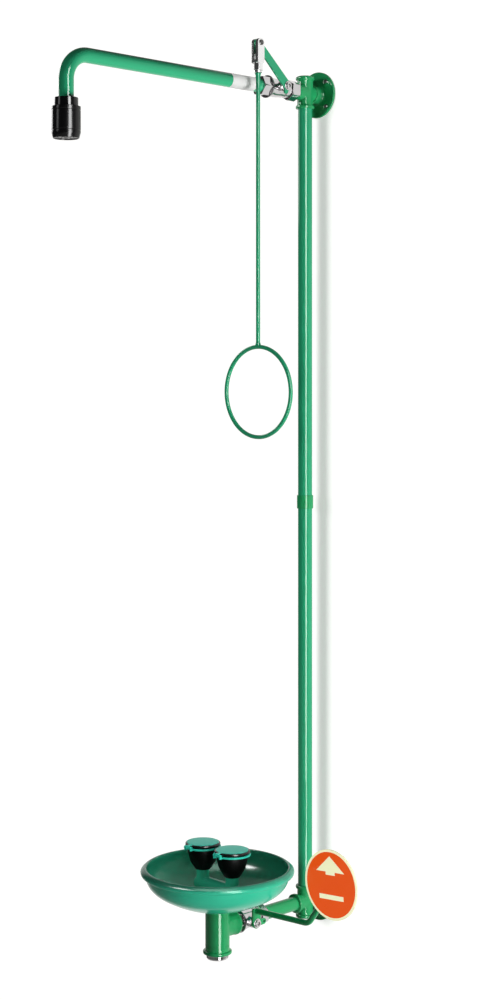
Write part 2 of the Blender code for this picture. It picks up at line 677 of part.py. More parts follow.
def push_gear():
    """Hub plate with a stop tab, its welded rod, and the round plate on the rod's end."""
    at = ahead(STEM_AHEAD_LOWER, EYE_Z)
    half = PUSH_HUB_HALF
    top = PUSH_ROD_START_Z + PUSH_ROD_R
    outline = [*arc((-PUSH_TAB_BACK, 0), PUSH_TAB_R, 90, 270, 8)]
    outline += arc((0, 0), half, 220, 360, 8) + [(half, top), (-half, top), (-half, PUSH_TAB_R)]
    outline = [(STEM_AHEAD_LOWER + m, EYE_Z + z) for m, z in outline]
    hub = piece("push_lever", plate(outline, LEVER_INNER, LEVER_OUTER), GREEN, at)
    cut(hub, rod(STEM_R + CLEAR, 0, LEVER_OUTER + 9, RIGHT, at, STEM_SIDES))
    tab = at + Vector((0, PUSH_TAB_BACK, 0))
    cut(hub, rod(2.5, 0, LEVER_OUTER + 9, RIGHT, tab, SMALL_SIDES))
    bend = at + Vector((PUSH_BEND[0], 0, PUSH_BEND[1]))
    centre = at + Vector((PUSH_PLATE_AT[0], 0, PUSH_PLATE_AT[1]))
    start = at + Vector((LEVER_INNER + 1, 0, PUSH_ROD_START_Z))
    end = centre + (centre - bend).normalized() * 30
    join(hub, swept(bent([start, bend, end], 22), PUSH_ROD_R, 0, FRONT, STEM_SIDES))
    low = PUSH_ROD_R + CLEAR
    high = low + PUSH_PLATE_THICK
    face = [(0, low), (PUSH_PLATE_R, low), (PUSH_PLATE_R, high - 0.6), (PUSH_PLATE_R - 0.6, high), (0, high)]
    piece("push_plate", turned(face, FRONT, centre, 40), ORANGE, at)


def drain():
    """Drain body: waste water falls round the supply tube, which comes in through the side branch."""
    at = ahead(BOWL_AHEAD, EYE_Z)
    branch_end = STEM_AHEAD_LOWER + LOWER_FRONT_FACE + CLEAR - BOWL_AHEAD
    socket_end = branch_end + SPIGOT_LENGTH + CLEAR
    low, high = DRAIN_BEAD
    outer = [
        (0, low),
        (DRAIN_BEAD_R - 1, low),
        (DRAIN_BEAD_R, low + 1),
        (DRAIN_BEAD_R, high - 1.5),
        (DRAIN_R, high),
        (DRAIN_R, DRAIN_TOP),
        (0, DRAIN_TOP),
    ]
    body = piece("drain_body", turned(outer, UP, at, BROAD_SIDES), GREEN, at)
    join(body, rod(DRAIN_BRANCH_R, branch_end, 0, FRONT, at, BROAD_SIDES))
    socket = OUTLET_R + CLEAR
    bore = [(0, low - 1), (socket, low - 1), (socket, -28), (DRAIN_BORE_R, -28)]
    bore += [(DRAIN_BORE_R, DRAIN_TOP + 1), (0, DRAIN_TOP + 1)]
    side = [(0, branch_end - 1), (TUBE_R + CLEAR, branch_end - 1), (TUBE_R + CLEAR, socket_end)]
    side += [(SUPPLY_R + CLEAR, socket_end), (SUPPLY_R + CLEAR, -5), (0, -5)]
    cut(body, turned(bore, UP, at, BROAD_SIDES), turned(side, FRONT, at))
    outlet = [
        (OUTLET_BORE_R, -28 - CLEAR),
        (OUTLET_R, -28 - CLEAR),
        (OUTLET_R, OUTLET_FOOT + 1),
        (OUTLET_R - 1, OUTLET_FOOT),
        (OUTLET_BORE_R, OUTLET_FOOT),
    ]
    piece("drain_outlet", turned(outlet, UP, at, BROAD_SIDES), CHROME, at)
    corner = ahead(BOWL_AHEAD, EYE_Z)
    start = ahead(BOWL_AHEAD + socket_end + CLEAR, EYE_Z)
    path = bent([start, corner, ahead(BOWL_AHEAD, EYE_Z + MANIFOLD_Z - CLEAR)], SUPPLY_BEND_R, 4)
    piece("supply_tube", swept(path, SUPPLY_R, SUPPLY_BORE_R, RIGHT, STEM_SIDES), STEEL, start)


def bowl_and_fixing():
    at = ahead(BOWL_AHEAD, EYE_Z)
    gasket = tube(DRAIN_R - 0.2, BOWL_HOLE_R, DRAIN_TOP + CLEAR, BOWL_FOOT - CLEAR, UP, at)
    piece("bowl_gasket", gasket, RUBBER, at)
    outer = [(r, BOWL_FOOT + h) for r, h in BOWL_PROFILE]
    lip = [
        (BOWL_LIP_R - 4, BOWL_LIP_Z - 5),
        (BOWL_LIP_R - 0.7, BOWL_LIP_Z - 3),
        (BOWL_LIP_R, BOWL_LIP_Z),
        (BOWL_LIP_R - 2.5, BOWL_RIM - 4),
        (BOWL_LIP_R - 7, BOWL_RIM - 0.8),
        (outer[-1][0] - 1, BOWL_RIM),
    ]
    inner = []
    whole = [(BOWL_HOLE_R, BOWL_FOOT), *outer, (outer[-1][0], BOWL_RIM)]
    for before, point, after in zip(whole, whole[1:], whole[2:]):
        along = Vector(after) - Vector(before)
        normal = Vector((-along.y, along.x)).normalized()
        inner.append((point[0] + normal.x * BOWL_WALL, point[1] + normal.y * BOWL_WALL))
    inner.append((outer[-1][0] - BOWL_WALL, BOWL_RIM - 2))
    foot = [(BOWL_HOLE_R, BOWL_FOOT + BOWL_WALL), (BOWL_HOLE_R, BOWL_FOOT)]
    shell = turned([*outer, *lip, *inner[::-1], *foot], UP, at, WIDE_SIDES)
    piece("bowl", shell, BOWL_GREEN, at)
    low = BOWL_FOOT + BOWL_WALL + CLEAR
    high = low + STRAINER_THICK
    skirt = DRAIN_BORE_R - CLEAR
    ring = [
        (SUPPLY_R + CLEAR, low),
        (skirt - 2.5, low),
        (skirt - 2.5, DRAIN_TOP - 12),
        (skirt, DRAIN_TOP - 12),
        (skirt, low),
        (STRAINER_R, low),
        (STRAINER_R, high - 1),
        (STRAINER_R - 1, high),
        (SUPPLY_R + CLEAR, high),
    ]
    strainer = piece("bowl_strainer", turned(ring, UP, at), STEEL, at)
    for number in range(STRAINER_HOLES):
        angle = 2 * math.pi * (number + 0.5) / STRAINER_HOLES
        spot = at + Vector((math.cos(angle), math.sin(angle), 0)) * (SUPPLY_R + skirt - 2.5) / 2
        cut(strainer, rod(1.9, low - 1, high + 1, UP, spot, 6))


def manifold():
    at = ahead(BOWL_AHEAD, EYE_Z)
    level = at + Vector((0, 0, MANIFOLD_Z))
    end = CUP_HALF_SPACING + NECK_R + 2
    bar = [(0, -end), (MANIFOLD_R - 3, -end), (MANIFOLD_R, 3 - end)]
    bar += [(r, -h) for r, h in bar[::-1]]
    head = piece("nozzle_manifold", turned(bar, RIGHT, level), BOWL_GREEN, at)
    join(head, rod(SUPPLY_R + 4, MANIFOLD_Z - 20, MANIFOLD_Z, UP, at))
    for side in (-1, 1):
        spot = at + Vector((side * CUP_HALF_SPACING, 0, 0))
        join(head, rod(NECK_R, MANIFOLD_Z, NECK_TOP, UP, spot))
    reach = CUP_HALF_SPACING + MANIFOLD_BORE_R
    cut(head, rod(MANIFOLD_BORE_R, -reach, reach, RIGHT, level, SMALL_SIDES))
    cut(head, rod(SUPPLY_R + CLEAR, MANIFOLD_Z - 21, MANIFOLD_Z + 1.3, UP, at, STEM_SIDES))
    for side in (-1, 1):
        spot = at + Vector((side * CUP_HALF_SPACING, 0, 0))
        cut(head, rod(MANIFOLD_BORE_R - 1, MANIFOLD_Z - 1.7, NECK_TOP - 3, UP, spot, SMALL_SIDES))
        cut(head, rod(JET_R, NECK_TOP - 4, NECK_TOP + 1, UP, spot, 8))


def eye_cup(side, sign):
    """Rubber cup on its neck, the ring with the hinge knuckles, and the lid with its gasket."""
    at = ahead(BOWL_AHEAD, EYE_Z, sign * CUP_HALF_SPACING)
    rim_foot = CUP_RING_Z[0] - 1.5
    outer = [
        (CUP_FOOT_R, CUP_FOOT),
        (CUP_FOOT_R + 4, CUP_FOOT + 6),
        (24.5, 119),
        (27.8, 130),
        (CUP_R, rim_foot),
        (CUP_R, CUP_RIM),
    ]
    inner = [(r - CUP_WALL, z + 1) for r, z in outer[1:-1][::-1]]
    inner = [(CUP_R - CUP_WALL, CUP_RIM), *inner[:-1], (NECK_R + 3, NECK_TOP + 2.5)]
    neck = [(NECK_R + CLEAR, NECK_TOP + 2.5), (NECK_R + CLEAR, CUP_FOOT)]
    piece(f"{side}_cup", turned([*outer, *inner, *neck], UP, at, BROAD_SIDES), RUBBER, at)
    low, high = CUP_RING_Z
    ring = tube(CUP_RING_R, CUP_R + CLEAR, low, high, UP, at, BROAD_SIDES)
    band = piece(f"{side}_cup_ring", ring, BOWL_GREEN, at)
    pivot = at + Vector((0, -HINGE_AHEAD, HINGE_Z))
    for end in (-1, 1):
        near = end * (TONGUE_HALF + CLEAR)
        far = near + end * KNUCKLE_WIDTH
        start, stop = min(near, far), max(near, far)
        join(band, rod(KNUCKLE_R, start, stop, RIGHT, pivot, SMALL_SIDES))
        foot = Vector((start, -KNUCKLE_R, low - HINGE_Z))
        reach = Vector((stop, HINGE_AHEAD - CUP_RING_R + 2, high - HINGE_Z - 0.5))
        join(band, box(pivot + foot, pivot + reach))
        cut(band, rod(TRUNNION_R + CLEAR, start - 1, stop + 1, RIGHT, pivot, SMALL_SIDES))
    seal = tube(GASKET_R, GASKET_R - 9, GASKET_FOOT, GASKET_TOP, UP, at)
    piece(f"{side}_lid_gasket", seal, RUBBER, pivot)
    foot = GASKET_TOP + CLEAR
    dome = [
        (0, foot),
        (LID_R, foot),
        (LID_R, LID_EDGE_TOP - 0.5),
        (LID_R - 0.5, LID_EDGE_TOP),
        (LID_R * 0.6, LID_TOP - 0.3),
        (0, LID_TOP),
    ]
    lid = piece(f"{side}_lid", turned(dome, UP, at, BROAD_SIDES), BOWL_GREEN, pivot)
    top = LID_EDGE_TOP - HINGE_Z - 0.5
    tongue = Vector((-TONGUE_HALF, 0, foot - HINGE_Z))
    join(lid, box(pivot + tongue, pivot + Vector((TONGUE_HALF, HINGE_AHEAD - LID_R + 3, top))))
    join(lid, box(pivot + Vector((-TONGUE_HALF, -2.5, 0)), pivot + Vector((TONGUE_HALF, 2.5, top))))
    join(lid, rod(2.6, -TONGUE_HALF, TONGUE_HALF, RIGHT, pivot, SMALL_SIDES))
    reach = TONGUE_HALF + CLEAR + KNUCKLE_WIDTH
    join(lid, rod(TRUNNION_R, -reach, reach, RIGHT, pivot, SMALL_SIDES))


wall_flange("upper", 0)
wall_flange("lower", EYE_Z)
press_cross("upper", 0, TUBE_R, False)
press_cross("lower", EYE_Z, PIPE_R, True)
riser()
shower_valve()
pull_gear()
shower_arm_and_head()
eyewash_valve()
push_gear()
drain()
bowl_and_fixing()
manifold()
eye_cup("left", -1)
eye_cup("right", 1)
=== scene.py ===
"""Looks of the wall-mounted emergency shower and eye wash: smooth pieces, finishes, light and camera.

Pieces are drawn in millimetres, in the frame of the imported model, and scaled to metres as they are shown.
"""

import json
import math

import bmesh
import bpy
from mathutils import Matrix, Vector


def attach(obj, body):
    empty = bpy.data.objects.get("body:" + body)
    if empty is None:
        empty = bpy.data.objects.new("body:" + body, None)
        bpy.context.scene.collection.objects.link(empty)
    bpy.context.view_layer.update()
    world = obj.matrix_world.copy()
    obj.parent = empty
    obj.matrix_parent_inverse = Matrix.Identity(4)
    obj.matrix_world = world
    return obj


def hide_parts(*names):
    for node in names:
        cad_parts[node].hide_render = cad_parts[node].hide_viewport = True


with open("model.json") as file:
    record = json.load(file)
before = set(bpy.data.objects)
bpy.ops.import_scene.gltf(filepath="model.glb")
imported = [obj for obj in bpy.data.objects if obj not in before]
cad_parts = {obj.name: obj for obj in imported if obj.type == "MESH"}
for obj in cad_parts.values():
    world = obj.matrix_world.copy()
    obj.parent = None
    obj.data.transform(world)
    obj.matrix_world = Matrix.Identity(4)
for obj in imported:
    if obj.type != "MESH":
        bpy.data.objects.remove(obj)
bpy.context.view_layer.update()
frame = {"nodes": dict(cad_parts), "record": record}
record = frame["record"]
BODIES = record["behaviour"]["bodies"]
BODY_OF = {node: body for body, nodes in BODIES.items() for node in nodes}

# A millimetre in metres, and the millimetres within which two points of a mesh are one.
MM = 0.001
WELD = 0.002
RIGHT = Vector((1, 0, 0))
FRONT = Vector((0, -1, 0))
UP = Vector((0, 0, 1))

# Sizes and places of the real object, as in the part's source.
WALL_OFFSET = 38.0
EYE_Z = -1585.0
FIT = 0.3
FLANGE_R = 45.0
SCREW_CIRCLE_R = 34.0
TUBE_R = 14.0
TUBE_BORE_R = 12.5
PIPE_R = 13.45
COUPLING_Z = -802.0
CROSS_R = 15.5
CROSS_REACH = 31.0
CROSS_STOP = 13.0
BEAD_R = 18.4
STEM_UPPER = 85.0
STEM_LOWER = 169.0
STEM_R = 5.0
VALVE_HEX_R = 20.0
LEVER_LENGTH = 106.8
LEVER_TILT = math.radians(42)
LEVER_INNER = 30.8
LEVER_OUTER = 34.8
LEVER_MID = 32.8
PIN_R = 4.0
ROD_R = 4.0
RING_R = 85.0
RING_DROP = -657.5
ARM_START = 116.3
ARM_REACH = 600.0
ARM_BEND_R = 47.0
ARM_DROP = 91.0
LABEL_SPAN = (147.0, 210.0)
BOWL_AHEAD = 239.0
CUP_HALF_SPACING = 39.35
HINGE_AHEAD = 38.0
HINGE_Z = 148.5
PLATE_AT = (230.0, 114.0)
PLATE_R = 63.0
PLATE_BACK = 5.8
PLATE_FACE = 8.8
PLATE_ROLL = math.radians(-4.4)
PUSH_BEND = (167.0, 29.0)
PUSH_BEND_R = 22.0
PUSH_ROD_R = 5.5
WATERWAY_R = 10.0


def ahead(distance, z=0.0, x=0.0):
    """Point this far in front of the riser's axis."""
    return Vector((x, -WALL_OFFSET - distance, z))


class Signal:
    """Shader socket that takes part in Python arithmetic."""

    def __init__(self, finish, socket):
        self.finish = finish
        self.socket = socket

    def math(self, operation, first, second):
        return self.finish.node("ShaderNodeMath", {"operation": operation}, {0: first, 1: second})

    def __add__(self, other):
        return self.math("ADD", self, other)

    def __mul__(self, other):
        return self.math("MULTIPLY", self, other)

    __radd__ = __add__
    __rmul__ = __mul__


class Finish:
    """One procedural material, on the piece's own Object coordinates in metres."""

    def __init__(self, name, **constants):
        self.material = bpy.data.materials.new(name)
        self.material.use_nodes = True
        self.tree = self.material.node_tree
        self.shader = self.tree.nodes["Principled BSDF"]
        for socket, value in constants.items():
            self.shader.inputs[socket.replace("_", " ")].default_value = value

    def node(self, kind, settings, inputs, output=0):
        """New node with its settings and inputs, as the signal of one of its outputs."""
        made = self.tree.nodes.new(kind)
        for key, value in settings.items():
            setattr(made, key, value)
        for key, value in inputs.items():
            self.feed(made.inputs[key], value)
        return Signal(self, made.outputs[output])

    def feed(self, socket, value):
        if isinstance(value, Signal):
            self.tree.links.new(value.socket, socket)
        else:
            socket.default_value = value

    def set(self, socket, value):
        self.feed(self.shader.inputs[socket], value)

    def noise(self, size_mm, detail=2.0, stretch=(1, 1, 1)):
        """Noise about 0.5 whose blobs measure about this many millimetres."""
        place = self.node("ShaderNodeTexCoord", {}, {}, "Object")
        place = self.node("ShaderNodeMapping", {}, {"Vector": place, "Scale": stretch})
        inputs = {"Vector": place, "Scale": 1 / (size_mm * MM), "Detail": detail}
        return self.node("ShaderNodeTexNoise", {}, inputs)

    def blend(self, factor, first, second):
        """Mix of two colours; its sockets for colour go by number, because names are shared."""
        return self.node("ShaderNodeMix", {"data_type": "RGBA"}, {0: factor, 6: first, 7: second}, 2)

    def tint(self, dark, light, size_mm, detail=3.0):
        """Base colour that drifts between two close shades."""
        self.set("Base Color", self.blend(self.noise(size_mm, detail), (*dark, 1), (*light, 1)))

    def gloss(self, low, high, size_mm):
        self.set("Roughness", low + (high - low) * self.noise(size_mm, 4.0))

    def relief(self, height, depth_mm, strength=1.0):
        bump = {"Height": height, "Strength": strength, "Distance": depth_mm * MM}
        self.set("Normal", self.node("ShaderNodeBump", {}, bump))


def coat(name, dark, light, peel_mm, depth_mm, ior=1.32):
    """Baked colour coat: faint drift of shade, uneven gloss and orange peel."""
    made = Finish(name, IOR=ior)
    made.tint(dark, light, 60)
    made.gloss(0.07, 0.12, 9)
    made.relief(made.noise(peel_mm, 1.0), depth_mm)
    return made


def moulding(name, dark, light, low, high, grain_mm, depth_mm, ior=1.5):
    """Moulded plastic or rubber: fine die grain and slow flow marks."""
    made = Finish(name, IOR=ior)
    made.tint(dark, light, 35)
    made.gloss(low, high, 14)
    made.relief(made.noise(grain_mm, 2.0) + 0.5 * made.noise(grain_mm * 9, 2.0), depth_mm)
    return made


def plated(name, dark, light, low, high):
    """Bright plating: faint waves of the polished brass below, and light smears."""
    made = Finish(name, Metallic=1.0)
    made.tint(dark, light, 18)
    made.gloss(low, high, 7)
    made.relief(made.noise(7, 1.0) + 0.08 * made.noise(0.8, 2.0), 0.02)
    return made


def brushed(name, dark, light, stretch):
    """Stainless steel with fine drawn lines."""
    made = Finish(name, Metallic=1.0)
    made.tint(dark, light, 12)
    lines = made.noise(0.5, 3.0, stretch)
    made.set("Roughness", 0.22 + 0.18 * lines)
    made.relief(lines, 0.01, 0.6)
    return made


BOWL_GREEN = ((0.020, 0.31, 0.185), (0.026, 0.35, 0.215))
# Lighter copy of the bowl's green: the extra lightness is painted light on the lids, cup rings and hinges.
LID_GREEN_PAINTED_LIGHT = ((0.030, 0.54, 0.40), (0.038, 0.60, 0.45))
HEAD_BLACK = ((0.0015, 0.0015, 0.0018), (0.003, 0.003, 0.0034))
CUP_BLACK = ((0.0004, 0.0004, 0.0004), (0.001, 0.001, 0.001))
SEAL_BLACK = ((0.001, 0.001, 0.001), (0.0025, 0.0025, 0.0025))

TUBE_COAT = coat("tube_coat", (0.019, 0.34, 0.155), (0.025, 0.38, 0.180), 1.6, 0.0012)
CAST_COAT = coat("casting_coat", (0.015, 0.31, 0.100), (0.021, 0.35, 0.120), 1.8, 0.002)
BOWL_PLASTIC = moulding("bowl_plastic", *BOWL_GREEN, 0.18, 0.25, 0.7, 0.003, 1.3)
# Lid finish in that lighter green, which carries painted light.
LID_PLASTIC_PAINTED_LIGHT = moulding("lid_plastic", *LID_GREEN_PAINTED_LIGHT, 0.26, 0.36, 0.7, 0.006, 1.15)
COLLAR_PLASTIC = moulding("collar_plastic", *HEAD_BLACK, 0.09, 0.14, 0.5, 0.002, 1.4)
HEAD_PLASTIC = moulding("head_plastic", *HEAD_BLACK, 0.16, 0.23, 0.5, 0.003, 1.35)
CUP_RUBBER = moulding("cup_rubber", *CUP_BLACK, 0.36, 0.50, 0.9, 0.010, 1.18)
SEAL_RUBBER = moulding("seal_rubber", *SEAL_BLACK, 0.20, 0.30, 0.9, 0.006, 1.4)
VALVE_CHROME = plated("valve_chrome", (0.53, 0.515, 0.525), (0.60, 0.585, 0.595), 0.05, 0.13)
FORK_ZINC = plated("fork_zinc", (0.76, 0.76, 0.77), (0.86, 0.86, 0.86), 0.14, 0.24)
SEAT_PLASTIC = moulding("seat_plastic", (0.74, 0.74, 0.71), (0.82, 0.82, 0.80), 0.35, 0.50, 0.6, 0.01)
STEEL = brushed("stainless_steel", (0.46, 0.46, 0.46), (0.58, 0.58, 0.57), (1, 1, 14))
SCREW_STEEL = brushed("screw_steel", (0.10, 0.10, 0.10), (0.17, 0.17, 0.165), (14, 1, 1))
PLATE_ORANGE = coat("plate_orange", (0.76, 0.080, 0.006), (0.82, 0.092, 0.009), 1.2, 0.002, 1.3)
PLATE_CREAM = coat("plate_cream", (0.88, 0.86, 0.54), (0.93, 0.92, 0.62), 1.2, 0.002, 1.45)
LABEL_FILM = coat("label_film", (0.74, 0.74, 0.73), (0.82, 0.82, 0.81), 2.0, 0.002, 1.45)


def side_of(axis):
    """The direction from which angles about an axis are counted."""
    return RIGHT if abs(axis.z) > 0.5 else UP


def placed(axis, at):
    """Frame at a point with its Z along a main axis, and its Y where that axis counts angles from."""
    side = side_of(axis)
    return Matrix.Translation(at) @ Matrix((side.cross(axis), side, axis)).transposed().to_4x4()


def turned(profile, axis, at, steps=72):
    """Outline of (radius, height) points spun about an axis; one that starts off it closes on itself."""
    shape = bmesh.new()
    side = side_of(axis)
    points = [shape.verts.new(at + side * r + axis * h) for r, h in profile]
    pairs = list(zip(points, points[1:]))
    if profile[0][0] > 0:
        pairs.append((points[-1], points[0]))
    edges = [shape.edges.new(pair) for pair in pairs]
    whole = {"angle": math.tau, "steps": steps, "use_merge": True}
    bmesh.ops.spin(shape, geom=points + edges, cent=at, axis=axis, **whole)
    bmesh.ops.remove_doubles(shape, verts=shape.verts, dist=WELD)
    bmesh.ops.recalc_face_normals(shape, faces=shape.faces)
    return shape


def flowing(points, share=6):
    """Smooth line through the points, with this many steps between neighbours."""
    spots = [Vector((*p, 0)) for p in points]
    spots = [2 * spots[0] - spots[1], *spots, 2 * spots[-1] - spots[-2]]
    line = [spots[1]]
    for before, start, stop, after in zip(spots, spots[1:], spots[2:], spots[3:]):
        for i in range(1, share + 1):
            t = i / share
            curve = (stop - before) * t + (2 * before - 5 * start + 4 * stop - after) * t**2
            curve += (3 * start - before - 3 * stop + after) * t**3
            line.append(start + curve / 2)
    return [(p.x, p.y) for p in line]


def prism(sides, radius, low, high, axis, at):
    """Bar of many sides between two heights along an axis."""
    shape = bmesh.new()
    size = {"radius1": radius, "radius2": radius, "depth": high - low}
    middle = placed(axis, at + axis * (low + high) / 2)
    bmesh.ops.create_cone(shape, cap_ends=True, segments=sides, matrix=middle, **size)
    return shape


def block(low, high):
    """Box between two corners."""
    shape = bmesh.new()
    low, high = Vector(low), Vector(high)
    size = Matrix.Diagonal((*(high - low), 1))
    bmesh.ops.create_cube(shape, size=1, matrix=Matrix.Translation((low + high) / 2) @ size)
    return shape


def slab(circles, low, high, steps=48):
    """Flat bar along X round some circles of (ahead, z, radius)."""
    shape = bmesh.new()
    for m, z, radius in circles:
        spot = placed(RIGHT, ahead(m, z, low))
        bmesh.ops.create_circle(shape, cap_ends=False, segments=steps, radius=radius, matrix=spot)
    made = bmesh.ops.convex_hull(shape, input=shape.verts)
    spare = [g for g in made["geom_interior"] + made["geom_unused"] if isinstance(g, bmesh.types.BMVert)]
    bmesh.ops.delete(shape, geom=list(set(spare)), context="VERTS")
    bmesh.ops.dissolve_limit(shape, angle_limit=0.01, verts=shape.verts, edges=shape.edges)
    grown = bmesh.ops.extrude_face_region(shape, geom=shape.faces[:])
    moved = [g for g in grown["geom"] if isinstance(g, bmesh.types.BMVert)]
    bmesh.ops.translate(shape, verts=moved, vec=RIGHT * (high - low))
    bmesh.ops.recalc_face_normals(shape, faces=shape.faces)
    return shape


def pipe(radius, start, along, legs, segments=64):
    """Round bar. A leg is a straight length, or (radius, angle, towards) for a bend."""
    shape = bmesh.new()
    point, along = Vector(start), Vector(along)
    ring = bmesh.ops.create_circle(shape, segments=segments, radius=radius, matrix=placed_on(along, point))
    ends = ring["verts"] + shape.edges[:]
    for leg in legs:
        if isinstance(leg, tuple):
            bend, angle, towards = leg
            centre = point + towards * bend
            axis = along.cross(towards)
            steps = max(8, int(math.degrees(angle) / 3))
            arc = {"cent": centre, "axis": axis, "angle": angle, "steps": steps}
            ends = bmesh.ops.spin(shape, geom=ends, **arc)["geom_last"]
            turn = Matrix.Rotation(angle, 3, axis)
            point, along = centre + turn @ (point - centre), turn @ along
        else:
            edges = [g for g in ends if isinstance(g, bmesh.types.BMEdge)]
            grown = bmesh.ops.extrude_edge_only(shape, edges=edges)["geom"]
            moved = [g for g in grown if isinstance(g, bmesh.types.BMVert)]
            ends = moved + [e for e in shape.edges if e.verts[0] in moved and e.verts[1] in moved]
            bmesh.ops.translate(shape, verts=moved, vec=along * leg)
            point = point + along * leg
    bmesh.ops.holes_fill(shape, edges=shape.edges, sides=0)
    bmesh.ops.recalc_face_normals(shape, faces=shape.faces)
    return shape


def placed_on(axis, at):
    """Frame at a point with its Z along any direction."""
    return Matrix.Translation(at) @ axis.to_track_quat("Z", "Y").to_matrix().to_4x4()


def soften(shape, width, segments=3, angle=32):
    """Rounds every edge sharper than the angle."""
    limit = math.radians(angle)
    sharp = [e for e in shape.edges if len(e.link_faces) == 2 and e.calc_face_angle() > limit]
    form = {"segments": segments, "profile": 0.5, "material": -1, "clamp_overlap": True}
    bmesh.ops.bevel(shape, geom=sharp, offset=width, affect="EDGES", **form)
    return shape


def on_bench(shape):
    """Shape as an object, for modifiers to work on."""
    mesh = bpy.data.meshes.new("bench")
    shape.to_mesh(mesh)
    shape.free()
    made = bpy.data.objects.new("bench", mesh)
    bpy.context.collection.objects.link(made)
    return made


def off_bench(made, tools):
    """The worked shape as a closed bmesh again, with the bench cleared."""
    bpy.context.view_layer.update()
    shape = bmesh.new()
    shape.from_object(made, bpy.context.evaluated_depsgraph_get())
    bmesh.ops.remove_doubles(shape, verts=shape.verts, dist=WELD)
    bmesh.ops.dissolve_degenerate(shape, dist=WELD, edges=shape.edges)
    bmesh.ops.holes_fill(shape, edges=[e for e in shape.edges if e.is_boundary], sides=0)
    for used in (made, *tools):
        mesh = used.data
        bpy.data.objects.remove(used)
        bpy.data.meshes.remove(mesh)
    return shape


def worked(operation, shape, others):
    """Shape after a boolean operation with each of the others in turn."""
    made = on_bench(shape)
    tools = [on_bench(other) for other in others]
    for tool in tools:
        step = made.modifiers.new("step", "BOOLEAN")
        step.operation = operation
        step.solver = "EXACT"
        step.object = tool
    return off_bench(made, tools)


def fused(shape, *others):
    """Shape joined with the others."""
    return worked("UNION", shape, others)


def carved(shape, *others):
    """Shape with the others cut out of it."""
    return worked("DIFFERENCE", shape, others)


def show(name, shape, finish, nodes=(), body=None, sharp=35):
    """Finished piece that rides on a body and stands for its nodes."""
    bmesh.ops.scale(shape, vec=(MM, MM, MM), verts=shape.verts)
    for face in shape.faces:
        face.smooth = True
    mesh = bpy.data.meshes.new(name)
    shape.to_mesh(mesh)
    shape.free()
    mesh.set_sharp_from_angle(angle=math.radians(sharp))
    mesh.materials.append(finish.material)
    made = bpy.data.objects.new(name, mesh)
    bpy.context.scene.collection.objects.link(made)
    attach(made, body or BODY_OF[nodes[0]])
    if nodes:
        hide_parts(*nodes)


def stand_for(node, shape, finish, sharp=35):
    """Finished piece in place of one node."""
    show(f"{node}_finished", shape, finish, (node,), sharp=sharp)


def wall_flange(level, z):
    """Dished round flange with a raised pad under each screw."""
    at = Vector((0, 0, z))
    profile = [(0, 0), (FLANGE_R, 0), (FLANGE_R, 4.2), (44.5, 4.8), (43, 5), (42, 4.6)]
    profile += flowing([(41, 3.9), (36, 3.4), (29, 3.1), (22.5, 3.4), (18.8, 5.2), (17.3, 8.6)], 5)
    profile += [(17.1, 12), (17.1, 19.5), (16.6, 20), (15.8, 20), (15.8, 7.7), (0, 7.7)]
    flange = turned(profile, FRONT, at, 96)
    spots = []
    for number in range(4):
        angle = math.radians(45 + 90 * number)
        spots.append(at + Vector((math.cos(angle), 0, math.sin(angle))) * SCREW_CIRCLE_R)
    pad = [(0, 0.5), (7.4, 0.5), (7.4, 3.2), (6.7, 4.3), (6.2, 4.7), (0, 4.7)]
    hole = [(0, -1), (2.7, -1), (2.7, 2.0), (5.3, 5.6), (0, 5.6)]
    flange = fused(flange, *[turned(pad, FRONT, spot, 48) for spot in spots])
    flange = carved(flange, *[turned(hole, FRONT, spot, 40) for spot in spots])
    stand_for(f"{level}_wall_flange", flange, CAST_COAT, sharp=50)
    for number, spot in enumerate(spots):
        screw = [(0, 0.3), (2.4, 0.3), (2.4, 2.6), (4.2, 5.0), (4.0, 5.3), (0, 5.3)]
        screw = carved(turned(screw, FRONT, spot, 40), prism(6, 2.1, 3.2, 6, FRONT, spot))
        stand_for(f"{level}_screw_{number + 1}", screw, SCREW_STEEL)


def press_cross(level, z, front_bead):
    """Press fitting with a rolled bead around each socket, and a plain arm through to the flange."""
    at = ahead(0, z)
    end = CROSS_REACH
    bead = [(CROSS_R, end - 7.6), (CROSS_R + 0.3, end - 6.6), (BEAD_R - 0.7, end - 6), (BEAD_R, end - 5.2)]
    bead += [(BEAD_R, end - 0.8), (BEAD_R - 0.8, end)]
    upright = turned([(0, -end), *[(r, -h) for r, h in bead[::-1]], *bead, (0, end)], UP, at, 96)
    arm_r = CROSS_R - 0.15
    plain = [(arm_r, end - 5.6), (CROSS_R + 0.5, end - 5), (CROSS_R + 0.5, end - 1.2), (arm_r - 0.5, end)]
    lip = bead if front_bead else plain
    arm = turned([(0, -30), (arm_r, -30), (arm_r, 22), *lip, (0, end)], FRONT, at, 96)
    socket = TUBE_R + FIT
    bore = [(TUBE_BORE_R, CROSS_STOP), (socket, CROSS_STOP), (socket, end + 1), (0, end + 1)]
    bore = turned([*[(r, -h) for r, h in bore[::-1]], *bore], UP, at)
    stand_for(f"{level}_cross", carved(fused(upright, arm), bore), CAST_COAT, sharp=50)


